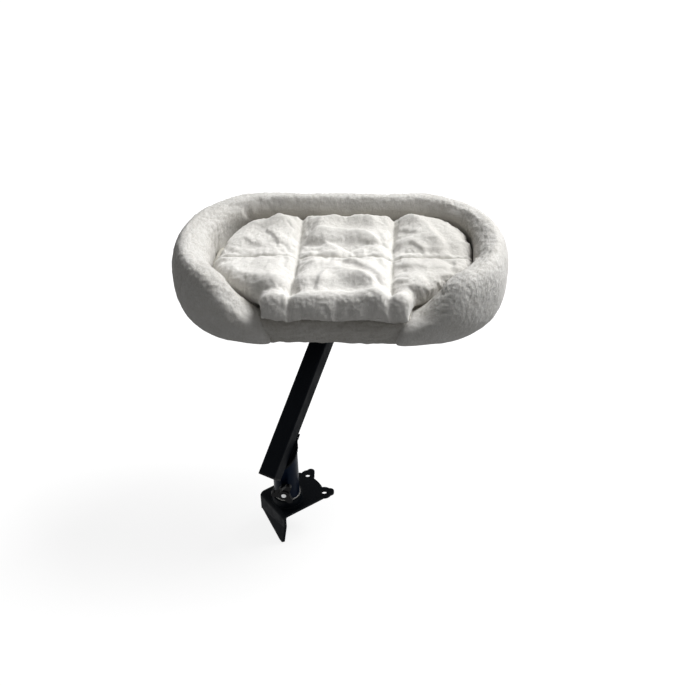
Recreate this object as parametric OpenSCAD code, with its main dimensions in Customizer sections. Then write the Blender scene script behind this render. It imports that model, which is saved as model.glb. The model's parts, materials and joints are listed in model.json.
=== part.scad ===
/* [Bed] */
// Width of the bed over its walls
bed_w = 532; // [500:5:600]
// Depth of the bed from the front sill to the back wall
bed_d = 304; // [294:1:320]
// Corner radius of the bed seen from above, as a share of its depth
bed_corner_share = 0.48; // [0.44:0.005:0.485]
// Height of the padded wall at the back and sides
wall_h = 112; // [90:1:140]
// Thickness of the padded wall at its sides and front ends
wall_t = 58; // [50:1:66]
// Thickness of the padded wall along its back
wall_back_t = 42; // [38:1:58]
// Distance of the wall's crest in from its widest line
wall_crest_in = 30; // [24:1:34]
// The same distance at the front, where the wall leans outward
wall_crest_front_in = 22; // [16:1:30]
// Distance of the wall's foot in from its widest line
wall_foot_in = 12; // [8:1:24]
// Length over which each front end of the wall climbs to full height
wall_rise = 100; // [90:5:140]
// Gap between the wall's two front ends at the foot, as a share of the straight front
entry_share = 0.833; // [0.7:0.001:0.85]
// Height of the low front sill
sill_h = 46; // [40:1:52]
// Thickness of the low front sill
sill_t = 38; // [32:1:40]
// Radius of the sill's lower front edge
sill_foot_r = 6; // [3:0.5:10]
// Distance of the sill's front face in from the wall's widest line
sill_in = 18; // [12:1:22]

/* [Cushion] */
// Thickness of the loose cushion at its crown
cushion_t = 36; // [28:1:42]
// Height of the folds that lie across the cushion's panels
fold_h = 5; // [0:0.5:7]
// Half width of those folds
fold_half_w = 15; // [12:1:22]
// Gap between the cushion's edge and the wall
cushion_gap = 4; // [2:0.5:8]
// Gap between the cushion's tongue over the sill and each end of the wall
tongue_gap = 3.4; // [3:0.2:16]
// Distance of the cushion's front edge in from the wall's widest line
tongue_in = 2; // [2:1:12]
// Distance of the two front-to-back seams from the middle one of the three panels
seam_x = 75; // [60:1:90]
// Shift of that panel to the right of the bed's axis
seam_shift = 9; // [0:1:20]
// Distance of the crosswise seam behind the middle
seam_y = 10; // [0:1:30]
// Depth of the sewn channels
seam_depth = 9; // [4:0.5:12]
// Half width of a sewn channel
seam_half_w = 9; // [6:0.5:12]

/* [Board] */
// Thickness of the plywood board
board_t = 9; // [6:0.5:12]
// Distance of the board's edge in from the wall's widest line
board_in = 30; // [28:1:36]
// Thickness of the fabric under the board
under_t = 1; // [0.8:0.1:1.5]
// Thickness of the hook strips that hold the cushion
strip_t = 1.2; // [0.8:0.1:2]
// Length of a hook strip
strip_l = 180; // [120:5:220]
// Width of a hook strip
strip_w = 25; // [16:1:30]
// Distance of the hook strips from the middle
strip_y = 45; // [30:1:55]

/* [Arm] */
// Width of the square tube
arm_w = 30; // [25:1:34]
// Wall of the square tube
arm_wall = 2; // [1.5:0.1:3]
// Outer corner radius of the square tube
arm_corner_r = 4; // [3:0.5:6]
// Climb of the arm above level, in degrees
arm_tilt = 43.2; // [38:0.1:48]
// Turn of the arm about the post from the bed's long side, in degrees
arm_turn = 62; // [50:1:80]
// Level distance from the post's axis to the bed's axis
arm_reach = 186; // [170:1:215]
// Length of the arm behind the post's axis
arm_tail = 60; // [50:1:66]
// Thickness of the end plug's cap
plug_cap_t = 3; // [2:0.5:4]
// Depth of the end plug inside the tube
plug_depth = 16; // [10:1:24]
// Wall of the hollow end plug
plug_wall = 2; // [1.5:0.1:3]

/* [Post] */
// Height of the arm's axis above the bracket where it crosses the post
post_h = 128.5; // [118:0.5:140]
// Outer radius of the turning sleeve
sleeve_r = 21; // [20:0.5:23]
// Wall of the turning sleeve
sleeve_wall = 2.5; // [2:0.1:3]
// Outer radius of the fixed pivot pin
pin_r = 15; // [13:0.5:16]
// Wall of the tubular pivot pin
pin_wall = 4; // [3:0.5:5]
// Height of the pivot pin above the bracket
pin_h = 86; // [76:1:88]
// Chamfer at the top of the pivot pin
pin_chamfer = 2; // [1:0.5:3]
// Height of a plastic bush
bush_h = 18; // [12:1:22]
// Outer radius of the foot ring
ring_r = 25; // [24:0.5:28]
// Height of the foot ring
ring_h = 14; // [10:1:16]
// Thickness of the plastic thrust washer
thrust_t = 2; // [1:0.5:3]
// Thickness of the saddle plate between sleeve and arm
saddle_t = 3; // [2:0.5:4]
// Overhang of the saddle plate past the sleeve
saddle_lip = 1.5; // [1:0.5:3]

/* [Lock] */
// Height of the lock screw above the bracket
lock_h = 43; // [40:1:48]
// Direction of the lock screw from the post, in degrees
lock_turn = -91; // [-110:1:-70]
// Radius of the lock screw's thread
lock_r = 4; // [3:0.5:5]
// Width across the flats of the welded nut
lock_nut_af = 17; // [15:1:19]
// Distance of the nut's outer face from the post's axis
lock_nut_end = 27; // [25:0.5:28]
// Distance of the knob's back from the post's axis
knob_start = 29; // [28.5:0.5:36]
// Thickness of the knob
knob_t = 10; // [9:1:16]
// Radius of the knob over its lobes
knob_r = 21; // [17:1:24]
// Radius of a lobe's end
lobe_r = 5; // [4:0.5:6]
// Radius of the knob's hub
hub_r = 9; // [8:0.5:11]
// Turn of the knob's lobes when it is done up, in degrees
knob_set = 32; // [0:1:119]
// Length of screw that shows past the knob
lock_end = 1.5; // [1:0.5:3]

/* [Bracket] */
// Thickness of the bracket's steel
plate_t = 5; // [4:0.5:6]
// Outer radius of the bend
bend_r = 8; // [7:0.5:10]
// Distance of the bracket's drop leg from the post's axis
leg_x = 30; // [28:1:34]
// Half width of the bracket
plate_half_w = 36; // [34:1:38]
// Shift of the bracket's straight sides away from the turned-out corner
plate_shift = 2; // [0:0.5:3]
// Radius of the bracket's round end
plate_end_r = 62; // [60:0.5:64]
// Radius of an ear round its screw hole
ear_r = 11.5; // [11:0.5:13]
// Radius of an ear's tip
ear_tip_r = 6.5; // [5:0.5:8]
// Distance of an ear's tip from the post's axis
ear_tip_x = 66; // [64:0.5:68]
// Distance of an ear's tip from the centre line
ear_tip_y = 29; // [27:0.5:31]
// Distance of the screw holes from the post's axis
hole_x = 57; // [54:1:58]
// Distance of the screw holes from the centre line
hole_y = 25; // [24:0.5:26]
// Radius of the screw holes
hole_r = 4.5; // [3:0.5:5]
// Depth of the drop leg below the desk's top at its far side
leg_far = 30; // [26:1:36]
// Depth of the straight part of the leg at its near side
leg_near = 18; // [15:1:22]
// Depth of the turned-out corner below the desk's top
flap_depth = 46; // [40:1:50]
// Width of the turned-out corner's blunt end
flap_end_w = 9; // [6:1:14]
// Overhang of that end past the bracket's side
flap_flare = 5; // [2:1:8]
// Angle at which the corner is turned out, in degrees
flap_turn = 18; // [10:1:25]
// Turn of the bracket from the bed's long side, in degrees
bracket_turn = 38; // [20:1:60]
// Thickness of the rubber pads
pad_t = 2; // [1:0.5:3]

/* [Head] */
// Level distance from the bed's axis back to the middle of the arm's cut end
head_offset = 10; // [0:1:14]
// Thickness of the head plate
head_t = 4; // [3:0.5:5]
// Radius of the head plate
head_r = 45; // [42:1:50]
// Thickness of the plastic swivel washer
swivel_t = 2; // [1:0.5:3]
// Radius of the plastic swivel washer
swivel_r = 40; // [34:1:42]
// Width of the square plate under the board
bed_plate_w = 170; // [164:2:190]
// Thickness of the square plate under the board
bed_plate_t = 3; // [2:0.5:4]
// Corner radius of the square plate
bed_plate_r = 14; // [8:1:20]
// Distance of the board screws from the bed's axis, each way
screw_at = 70; // [69:1:74]

/* [Fasteners] */
// Radius of the head stud
stud_r = 5; // [4:0.5:6]
// Width across the flats of the stud's lock nut
nut_af = 17; // [15:1:19]
// Height of the stud's lock nut
nut_h = 10; // [8:0.5:12]
// Length of stud that shows past the nut
stud_end = 2; // [1:0.5:4]
// Thickness of the steel washer
washer_t = 2; // [1:0.5:3]
// Radius of the steel washer
washer_r = 14; // [11:0.5:16]
// Radius of a board screw
screw_r = 2.5; // [2:0.5:3]
// Radius of a board screw's head
screw_head_r = 4.8; // [4.5:0.1:6]
// Height of a board screw's head
screw_head_h = 2; // [1.5:0.1:2]
// Radius of a tee nut's barrel
tee_r = 3.8; // [3.5:0.1:4.5]
// Radius of a tee nut's flange
tee_flange_r = 9; // [7:0.5:10]
// Thickness of a tee nut's flange
tee_flange_t = 1.5; // [1:0.1:1.5]

/* [Hidden] */

// Clearances, in the same unit as every length above
slip = 0.08;      // running fit round a pin or bolt
press = 0.05;     // close fit of a fixed ring
lift = 0.2;       // running gap between flat faces that turn on each other
soft_gap = 0.6;   // gap between soft pieces
hole_gap = 0.3;   // clearance hole round a screw
over = 1;         // overrun of a cut
web_in = 0.8;     // set-in of a web's sides from the circles that it joins

// Facet counts
round_fn = 96;
small_fn = 48;
arc_steps = 6;

// Levels, counted up from the desk's top
plate_top = pad_t + plate_t;
ring_top = plate_top + ring_h;
sleeve_foot = ring_top + thrust_t + lift;
cross_z = plate_top + post_h;
pin_top = plate_top + pin_h;
lock_z = plate_top + lock_h;
head_z = cross_z + (arm_reach - head_offset) * tan(arm_tilt);
head_top = head_z + head_t;
bed_plate_z = head_top + swivel_t + lift;
under_z = bed_plate_z + bed_plate_t;
board_z = under_z + under_t;
board_top = board_z + board_t;
stud_washer_z = board_top + lift;
stud_top = stud_washer_z + washer_t + nut_h + stud_end;
sill_top = under_z + sill_h;
cushion_z = sill_top + strip_t + soft_gap;

// Places
bed_x = arm_reach * cos(arm_turn);
bed_y = arm_reach * sin(arm_turn);
arm_run = (arm_reach - head_offset) / cos(arm_tilt);
arm_spare = arm_w / tan(arm_tilt);
sleeve_bore_r = sleeve_r - sleeve_wall;
span = bed_w + bed_d;
upper_bush_z = pin_top - pin_chamfer - bush_h;
bed_corner_r = bed_corner_share * bed_d;
corner_x = bed_w / 2 - bed_corner_r;
corner_y = bed_d / 2 - bed_corner_r;
entry_w = 2 * entry_share * corner_x;

// Shares that shape the padded wall and the cushion
widest_share = 0.54;
inner_top_share = 0.72;
slant_run_share = 0.92;
entry_slant_share = slant_run_share * (corner_x - entry_w / 2) / sill_h;
cushion_low_share = 0.3;
cushion_square_share = 7;
puff_share = 0.16;

function smooth(t) = let (c = min(1, max(0, t))) c * c * (3 - 2 * c);

// A closed outline with each corner [x, y, radius] turned into an arc
function rounded_outline(corners) = [
  for (i = [0 : len(corners) - 1])
    let (
      n = len(corners),
      here = [corners[i][0], corners[i][1]],
      before = [corners[(i + n - 1) % n][0], corners[(i + n - 1) % n][1]],
      after = [corners[(i + 1) % n][0], corners[(i + 1) % n][1]],
      r = corners[i][2],
      back = (before - here) / norm(before - here),
      ahead = (after - here) / norm(after - here),
      half = acos(back * ahead) / 2,
      bisector = (back + ahead) / norm(back + ahead),
      centre = here + bisector * r / sin(half),
      from = here + back * r / tan(half) - centre,
      to = here + ahead * r / tan(half) - centre,
      start = atan2(from[1], from[0]),
      turn = (atan2(to[1], to[0]) - start + 540) % 360 - 180
    )
    if (r == 0) here
    else for (k = [0 : arc_steps]) centre + r * [cos(start + turn * k / arc_steps), sin(start + turn * k / arc_steps)]
];

// Four corners of the web between two circles, on the lines that touch both
function web_between(from, from_r, to, to_r) = let (
  along = to - from,
  turn = atan2(along[1], along[0]),
  open = acos((from_r - to_r) / norm(along)),
  root_r = from_r - web_in,
  end_r = to_r - web_in
) [
  from + root_r * [cos(turn + open), sin(turn + open)],
  to + end_r * [cos(turn + open), sin(turn + open)],
  to + end_r * [cos(turn - open), sin(turn - open)],
  from + root_r * [cos(turn - open), sin(turn - open)]
];

module rounded_square(w, d, r, fn = small_fn) {
  square([w, d - 2 * r], center = true);
  square([w - 2 * r, d], center = true);
  for (x = [-1, 1], y = [-1, 1])
    translate([x * (w / 2 - r), y * (d / 2 - r)]) circle(r = r, $fn = fn);
}

module ring(outer_r, inner_r, h) {
  difference() {
    cylinder(r = outer_r, h = h, $fn = round_fn);
    translate([0, 0, -over]) cylinder(r = inner_r, h = h + 2 * over, $fn = round_fn);
  }
}

module hex_nut(across_flats, inner_r, h) {
  difference() {
    cylinder(r = across_flats / sqrt(3), h = h, $fn = 6);
    translate([0, 0, -over]) cylinder(r = inner_r, h = h + 2 * over, $fn = small_fn);
  }
}

module at_bracket() {
  rotate([0, 0, bracket_turn]) children();
}

// X runs up the arm's axis from the post
module along_arm() {
  rotate([0, 0, arm_turn]) translate([0, 0, cross_z]) rotate([0, -arm_tilt, 0]) children();
}

// Z runs out of the post along the lock screw
module along_lock() {
  rotate([0, 0, lock_turn]) translate([0, 0, lock_z]) rotate([0, 90, 0]) children();
}

module at_bed() {
  translate([bed_x, bed_y, 0]) children();
}

module at_screws() {
  for (x = [-1, 1], y = [-1, 1]) at_bed() translate([x * screw_at, y * screw_at, 0]) children();
}

// Everything over the plane in which the saddle plate's underside lies
module over_saddle(depth) {
  along_arm() translate([-span, -span, -arm_w / 2 - depth]) cube(2 * span);
}

// Flat outline of the bracket's top plate: straight sides, a round end and two ears
module plate_outline() {
  bend_x = bend_r - leg_x;
  far_w = plate_half_w + plate_shift;
  side_x = sqrt(plate_end_r * plate_end_r - far_w * far_w);
  translate([bend_x, plate_shift - plate_half_w]) square([side_x - over - bend_x, 2 * plate_half_w]);
  intersection() {
    circle(r = plate_end_r, $fn = round_fn);
    translate([0, plate_shift - plate_half_w]) square([plate_end_r, 2 * plate_half_w]);
  }
  for (y = [-1, 1]) {
    root = [hole_x, y * hole_y];
    tip = [ear_tip_x, y * ear_tip_y];
    translate(root) circle(r = ear_r, $fn = small_fn);
    translate(tip) circle(r = ear_tip_r, $fn = small_fn);
    polygon(web_between(root, ear_r, tip, ear_tip_r));
  }
}

module bracket_bend() {
  bend_in = bend_r - plate_t;
  translate([bend_r - leg_x, plate_half_w, plate_top - bend_r]) rotate([90, 0, 0])
    linear_extrude(height = 2 * plate_half_w) intersection() {
      difference() {
        circle(r = bend_r, $fn = small_fn);
        circle(r = bend_in, $fn = small_fn);
      }
      translate([-bend_r, 0]) square(bend_r);
    }
}

// Straight part of the drop leg, cut off along the line where the corner turns out
module bracket_leg() {
  translate([-leg_x, 0, 0]) rotate([90, 0, 90]) linear_extrude(height = plate_t)
    polygon([
      [plate_half_w, plate_top - bend_r],
      [plate_half_w, -leg_far],
      [-plate_half_w, -leg_near],
      [-plate_half_w, plate_top - bend_r]
    ]);
}

// Lower corner of the leg, turned out about the cut line to lead onto the desk's edge
module bracket_flap() {
  fold_w = 2 * plate_half_w;
  fold_rise = leg_far - leg_near;
  translate([plate_t / 2 - leg_x, plate_half_w, -leg_far]) rotate(a = -flap_turn, v = [0, -fold_w, fold_rise])
    rotate([90, 0, 90]) translate([0, 0, -plate_t / 2]) linear_extrude(height = plate_t)
      polygon(rounded_outline([
        [-hole_gap, over, 0],
        [hole_gap - fold_w, fold_rise + over, 0],
        [-fold_w - flap_flare, leg_far - flap_depth, plate_t / 4],
        [-fold_w - flap_flare + flap_end_w, leg_far - flap_depth, plate_t / 4]
      ]));
}

module desk_bracket() {
  color("#17191c") at_bracket() difference() {
    union() {
      translate([0, 0, pad_t]) linear_extrude(height = plate_t) plate_outline();
      translate([0, plate_shift, 0]) {
        bracket_bend();
        bracket_leg();
        bracket_flap();
      }
    }
    for (y = [-1, 1]) translate([hole_x, y * hole_y, 0])
      cylinder(r = hole_r, h = plate_top + over, $fn = small_fn);
  }
}

module desk_pad() {
  pad_x = bend_r - leg_x + over;
  pad_end = hole_x - 2 * hole_r - over;
  pad_w = 2 * (plate_half_w - pad_t);
  color("#26282a") at_bracket() translate([(pad_x + pad_end) / 2, plate_shift, 0])
    linear_extrude(height = pad_t) rounded_square(pad_end - pad_x, pad_w, 2 * pad_t);
}

module edge_pad() {
  pad_half_w = plate_half_w - 2 * pad_t;
  pad_top = bend_r - plate_top + over;
  color("#26282a") at_bracket() translate([plate_t - leg_x, plate_shift, 0]) rotate([90, 0, 90])
    linear_extrude(height = pad_t) polygon([
      [pad_half_w, -pad_top],
      [pad_half_w, -leg_far + 2 * pad_t],
      [-pad_half_w, -leg_near + pad_t],
      [-pad_half_w, -pad_top]
    ]);
}

module foot_ring() {
  edge = pad_t / 2;
  color("#1b1e22") difference() {
    union() {
      translate([0, 0, plate_top]) cylinder(r = ring_r, h = ring_h - edge, $fn = round_fn);
      translate([0, 0, ring_top - edge]) cylinder(r1 = ring_r, r2 = ring_r - edge, h = edge, $fn = round_fn);
    }
    cylinder(r = pin_r + press, h = ring_top + over, $fn = round_fn);
  }
}

module pivot_pin() {
  straight = pin_h - pin_chamfer;
  color("#8d9196") translate([0, 0, plate_top]) difference() {
    union() {
      cylinder(r = pin_r, h = straight, $fn = round_fn);
      translate([0, 0, straight]) cylinder(r1 = pin_r, r2 = pin_r - pin_chamfer, h = pin_chamfer, $fn = round_fn);
    }
    translate([0, 0, -over]) cylinder(r = pin_r - pin_wall, h = pin_h + 2 * over, $fn = round_fn);
  }
}

module thrust_washer() {
  color("#d8d8d2") translate([0, 0, ring_top]) ring(sleeve_r + over, pin_r + press, thrust_t);
}

module swivel_sleeve() {
  color("#10151d") difference() {
    translate([0, 0, sleeve_foot]) ring(sleeve_r, sleeve_bore_r, cross_z - sleeve_foot);
    over_saddle(saddle_t);
    along_lock() cylinder(r = lock_r + hole_gap, h = ring_r, $fn = small_fn);
  }
}

module lower_bush() {
  color("#d8d8d2") translate([0, 0, sleeve_foot]) ring(sleeve_bore_r - press, pin_r + slip, bush_h / 2);
}

module upper_bush() {
  color("#d8d8d2") translate([0, 0, upper_bush_z]) ring(sleeve_bore_r - press, pin_r + slip, bush_h);
}

module saddle_plate() {
  color("#10151d") intersection() {
    along_arm() translate([-span, -span, -arm_w / 2 - saddle_t]) cube([2 * span, 2 * span, saddle_t]);
    cylinder(r = sleeve_r + saddle_lip, h = cross_z, $fn = round_fn);
  }
}

module lock_nut() {
  color("#1b1e22") difference() {
    along_lock() rotate([0, 0, 30]) hex_nut(lock_nut_af, lock_r + slip, lock_nut_end);
    cylinder(r = sleeve_r, h = cross_z, $fn = round_fn);
  }
}

module support_arm() {
  inner_w = arm_w - 2 * arm_wall;
  inner_r = arm_corner_r - arm_wall;
  color("#101216") difference() {
    along_arm() translate([-arm_tail, 0, 0]) rotate([90, 0, 90])
      linear_extrude(height = arm_tail + arm_run + arm_spare) difference() {
        rounded_square(arm_w, arm_w, arm_corner_r);
        rounded_square(inner_w, inner_w, inner_r);
      }
    translate([-span, -span, head_z]) cube(2 * span);
  }
}

// Hollow plastic plug in the arm's lower end, with two ribs that grip the tube
module arm_end_plug() {
  inner_w = arm_w - 2 * arm_wall;
  neck_w = inner_w - 2 * hole_gap - 2 * press;
  rib_w = inner_w - 2 * press;
  rib_t = plug_depth / 8;
  color("#0c0d0f") along_arm() translate([-arm_tail - plug_cap_t, 0, 0]) rotate([90, 0, 90]) difference() {
    union() {
      linear_extrude(height = plug_cap_t) rounded_square(arm_w, arm_w, arm_corner_r);
      linear_extrude(height = plug_cap_t + plug_depth) rounded_square(neck_w, neck_w, arm_corner_r - arm_wall);
      for (i = [1, 3]) translate([0, 0, plug_cap_t + i * 2 * rib_t])
        linear_extrude(height = rib_t) rounded_square(rib_w, rib_w, arm_corner_r - arm_wall);
    }
    translate([0, 0, plug_cap_t]) linear_extrude(height = plug_depth + over)
      rounded_square(neck_w - 2 * plug_wall, neck_w - 2 * plug_wall, arm_wall / 2);
  }
}

module head_plate() {
  color("#17191c") at_bed() translate([0, 0, head_z]) ring(head_r, stud_r + press, head_t);
}

// Threaded stud welded into the head plate, on which the bed turns
module head_stud() {
  stud_l = stud_top - head_z;
  edge = stud_end / 2;
  color("#9aa0a5") at_bed() translate([0, 0, head_z]) {
    cylinder(r = stud_r, h = stud_l - edge, $fn = small_fn);
    translate([0, 0, stud_l - edge]) cylinder(r1 = stud_r, r2 = stud_r - edge, h = edge, $fn = small_fn);
  }
}

module swivel_washer() {
  color("#d8d8d2") at_bed() translate([0, 0, head_top]) ring(swivel_r, stud_r + press, swivel_t);
}

module lock_screw() {
  tip = pin_r + press;
  screw_l = knob_start + knob_t + lock_end - tip;
  edge = lock_end / 2;
  color("#b4b7ba") along_lock() translate([0, 0, tip]) {
    cylinder(r = lock_r, h = screw_l - edge, $fn = small_fn);
    translate([0, 0, screw_l - edge]) cylinder(r1 = lock_r, r2 = lock_r - edge, h = edge, $fn = small_fn);
  }
}

// Three tapered arms round a hub, each rounded off at its end
module lock_knob() {
  lobe = [knob_r - lobe_r, 0];
  lobe_t = knob_t * 2 / 3;
  color("#0c0d0f") along_lock() translate([0, 0, knob_start]) difference() {
    union() {
      cylinder(r = hub_r, h = knob_t, $fn = small_fn);
      for (a = [0 : 120 : 240]) rotate([0, 0, a + knob_set]) translate([0, 0, (knob_t - lobe_t) / 2]) {
        translate(lobe) cylinder(r = lobe_r, h = lobe_t, $fn = small_fn);
        linear_extrude(height = lobe_t) polygon(web_between([0, 0], hub_r, lobe, lobe_r));
      }
    }
    translate([0, 0, -over]) cylinder(r = lock_r + press, h = knob_t + 2 * over, $fn = small_fn);
  }
}

module bed_plate() {
  color("#17191c") difference() {
    at_bed() translate([0, 0, bed_plate_z]) linear_extrude(height = bed_plate_t)
      rounded_square(bed_plate_w, bed_plate_w, bed_plate_r);
    at_bed() cylinder(r = stud_r + slip, h = under_z + over, $fn = small_fn);
    at_screws() cylinder(r = screw_r + hole_gap, h = under_z + over, $fn = small_fn);
  }
}

module stud_washer() {
  color("#9aa0a5") at_bed() translate([0, 0, stud_washer_z]) ring(washer_r, stud_r + press, washer_t);
}

module stud_nut() {
  color("#9aa0a5") at_bed() translate([0, 0, stud_washer_z + washer_t]) hex_nut(nut_af, stud_r + press, nut_h);
}

module board_screws() {
  color("#9aa0a5") at_screws() {
    translate([0, 0, bed_plate_z - screw_head_h]) cylinder(r = screw_head_r, h = screw_head_h, $fn = small_fn);
    translate([0, 0, bed_plate_z]) cylinder(r = screw_r, h = board_top - bed_plate_z - soft_gap, $fn = small_fn);
  }
}

module tee_nuts() {
  flange_z = board_top - tee_flange_t;
  color("#9aa0a5") at_screws() difference() {
    union() {
      translate([0, 0, flange_z]) cylinder(r = tee_flange_r, h = tee_flange_t, $fn = small_fn);
      translate([0, 0, board_z]) cylinder(r = tee_r, h = board_t, $fn = small_fn);
    }
    translate([0, 0, board_z - over]) cylinder(r = screw_r + press, h = board_t + 2 * over, $fn = small_fn);
  }
}

// Plan of the bed, drawn in from the wall's widest line
module bed_plan(inset) {
  rounded_square(bed_w - 2 * inset, bed_d - 2 * inset, bed_corner_r - inset, round_fn);
}

module under_cover() {
  color("#4a4b4d") difference() {
    at_bed() translate([0, 0, under_z]) linear_extrude(height = under_t) bed_plan(board_in);
    at_bed() cylinder(r = stud_r + hole_gap, h = board_top, $fn = small_fn);
    at_screws() cylinder(r = tee_r + press, h = board_top, $fn = small_fn);
  }
}

module bed_board() {
  color("#c9a877") difference() {
    at_bed() translate([0, 0, board_z]) linear_extrude(height = board_t) bed_plan(board_in);
    at_bed() cylinder(r = stud_r + hole_gap, h = board_top + over, $fn = small_fn);
    at_screws() cylinder(r = tee_r + press, h = board_top + over, $fn = small_fn);
    at_screws() translate([0, 0, board_top - tee_flange_t])
      cylinder(r = tee_flange_r + hole_gap, h = tee_flange_t + over, $fn = small_fn);
  }
}

// Foam slab with a pocket underneath for the stud's nut
module foam_base() {
  back_of_sill = bed_d / 2 - sill_in - sill_t - soft_gap;
  pocket_h = stud_top - board_top + nut_h / 2;
  color("#efe9d8") at_bed() translate([0, 0, board_top]) difference() {
    intersection() {
      translate([0, (wall_t - wall_back_t) / 2]) linear_extrude(height = sill_top - board_top)
        rounded_square(
          bed_w - 2 * (wall_t + soft_gap),
          bed_d - wall_t - wall_back_t - 2 * soft_gap,
          bed_corner_r - wall_t - soft_gap,
          round_fn
        );
      translate([-bed_w / 2, -back_of_sill, 0]) cube([bed_w, bed_d, wall_h]);
    }
    translate([0, 0, -over]) cylinder(r = washer_r * 1.5, h = pocket_h + over, $fn = round_fn);
  }
}

// Low padded strip across the entry, its ends cut to the slant of the wall's ends
module front_sill() {
  crown = sill_t / 4;
  half_foot = entry_w / 2 - soft_gap;
  half_top = half_foot + entry_slant_share * sill_h;
  step_z = board_top - under_z + soft_gap;
  profile = rounded_outline([
    [0, 0, sill_foot_r],
    [0, sill_h, crown],
    [sill_t, sill_h, crown / 2],
    [sill_t, step_z, 0],
    [board_in - sill_in - soft_gap, step_z, 0],
    [board_in - sill_in - soft_gap, 0, 0]
  ]);
  color("#b9b3a8") at_bed() translate([0, sill_in - bed_d / 2, under_z]) intersection() {
    translate([-bed_w / 2, 0, 0]) rotate([90, 0, 90]) linear_extrude(height = bed_w) polygon(profile);
    translate([0, bed_d, 0]) rotate([90, 0, 0]) linear_extrude(height = 2 * bed_d)
      polygon([[-half_foot, 0], [half_foot, 0], [half_top, sill_h], [-half_top, sill_h]]);
  }
}

// Cross-section of the wall: [distance in from the widest line, height]
function wall_profile(h, t, crest) = let (
  widest_z = h * widest_share,
  inner_z = h * inner_top_share,
  step_z = board_top - under_z + soft_gap,
  foot_steps = 4,
  crest_steps = 5,
  inner_steps = 4
) concat(
  [for (k = [0 : foot_steps]) let (a = 90 * k / foot_steps)
    [wall_foot_in * (1 - sin(a)), widest_z * (1 - cos(a))]],
  [for (k = [1 : crest_steps]) let (a = 90 * k / crest_steps)
    [crest * (1 - cos(a)), widest_z + (h - widest_z) * sin(a)]],
  [for (k = [1 : inner_steps]) let (a = 90 * k / inner_steps)
    [crest + (t - crest) * sin(a), inner_z + (h - inner_z) * cos(a)]],
  [[t, step_z], [board_in - soft_gap, step_z], [board_in - soft_gap, 0]]
);

// Stations round the wall from its right front end: [x, y, direction out, distance from that end]
corner_steps = 9;
straight_front = corner_x - entry_w / 2 - entry_slant_share * sill_h;
corner_l = bed_corner_r * PI / 2;
side_l = 2 * corner_y;
back_l = 2 * corner_x;
function corner_station(x, y, start, from) = [
  for (k = [0 : corner_steps]) let (a = start + 90 * k / corner_steps)
    [x + bed_corner_r * cos(a), y + bed_corner_r * sin(a), a, from + corner_l * k / corner_steps]
];
right_run = straight_front;
wall_stations = concat(
  [[corner_x - straight_front, -bed_d / 2, -90, 0]],
  corner_station(corner_x, -corner_y, -90, right_run),
  corner_station(corner_x, corner_y, 0, right_run + corner_l + side_l),
  [for (k = [1 : 3]) [corner_x - back_l * k / 4, bed_d / 2, 90, right_run + 2 * corner_l + side_l + back_l * k / 4]],
  corner_station(-corner_x, corner_y, 90, right_run + 2 * corner_l + side_l + back_l),
  corner_station(-corner_x, -corner_y, 180, right_run + 3 * corner_l + 2 * side_l + back_l),
  [[straight_front - corner_x, -bed_d / 2, 270, 2 * right_run + 4 * corner_l + 2 * side_l + back_l]]
);
wall_run = wall_stations[len(wall_stations) - 1][3];

// One closed sweep whose height climbs from the sill at each front end
module padded_wall() {
  last = len(wall_stations) - 1;
  rings = [
    for (i = [0 : last]) let (
      s = wall_stations[i],
      from_end = min(s[3], wall_run - s[3]),
      h = sill_h + (wall_h - sill_h) * smooth(from_end / wall_rise),
      slant = i == 0 ? -entry_slant_share : i == last ? entry_slant_share : 0,
      facing = sin(s[2]),
      t = wall_t - (wall_t - wall_back_t) * max(0, facing),
      crest = wall_crest_in + (wall_crest_front_in - wall_crest_in) * (1 - facing) / 2
    )
    [for (p = wall_profile(h, t, crest)) [
      s[0] - p[0] * cos(s[2]) + slant * (sill_h - p[1]),
      s[1] - p[0] * sin(s[2]),
      p[1]
    ]]
  ];
  n = len(rings[0]);
  points = [for (r = rings) each r];
  sides = [for (i = [0 : last - 1], j = [0 : n - 1])
    [i * n + j, i * n + (j + 1) % n, (i + 1) * n + (j + 1) % n, (i + 1) * n + j]];
  triangles = [for (f = sides) each [[f[0], f[1], f[2]], [f[0], f[2], f[3]]]];
  caps = [[for (j = [n - 1 : -1 : 0]) j], [for (j = [0 : n - 1]) last * n + j]];
  color("#c3c2bf") at_bed() translate([0, 0, under_z])
    polyhedron(points = points, faces = concat(triangles, caps), convexity = 6);
}

module hook_strips() {
  color("#3b3c3e") for (y = [-1, 1]) at_bed()
    translate([-strip_l / 2, y * strip_y - strip_w / 2, sill_top]) cube([strip_l, strip_w, strip_t]);
}

// Plan of the cushion: half its width at distance y behind the bed's axis
tongue_half_w = entry_w / 2 + entry_slant_share * sill_h - tongue_gap;
cushion_in = wall_t + cushion_gap;
cushion_half_w = bed_w / 2 - cushion_in;
cushion_back = bed_d / 2 - wall_back_t - cushion_gap;
cushion_side = bed_d / 2 - cushion_in;
cushion_front = bed_d / 2 - tongue_in;
cushion_r = bed_corner_r - cushion_in;
function corner_half(past) = let (into = min(cushion_r, max(0, past + cushion_r)))
  cushion_half_w - cushion_r + sqrt(cushion_r * cushion_r - into * into);
function cushion_half(y) = y > 0
  ? corner_half(y - cushion_back)
  : -y < cushion_side ? max(tongue_half_w, corner_half(-y - cushion_side)) : tongue_half_w;

// Folds across the cushion, each from one point to another, in shares of the middle panel's half width
fold_line_shares = [
  [[1.4, 1.2], [2.2, 0.1]],
  [[-0.6, 0.55], [0.8, 0.5]],
  [[-0.1, -0.55], [0.95, -1.5]]
];
function off_line(p, a, b) = let (d = b - a, s = min(1, max(0, (p - a) * d / (d * d)))) norm(p - a - s * d);
function fold_rise(p) = fold_h * max([for (f = fold_line_shares)
  exp(-pow(off_line(p, seam_x * f[0], seam_x * f[1]) / fold_half_w, 2))]);

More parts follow.
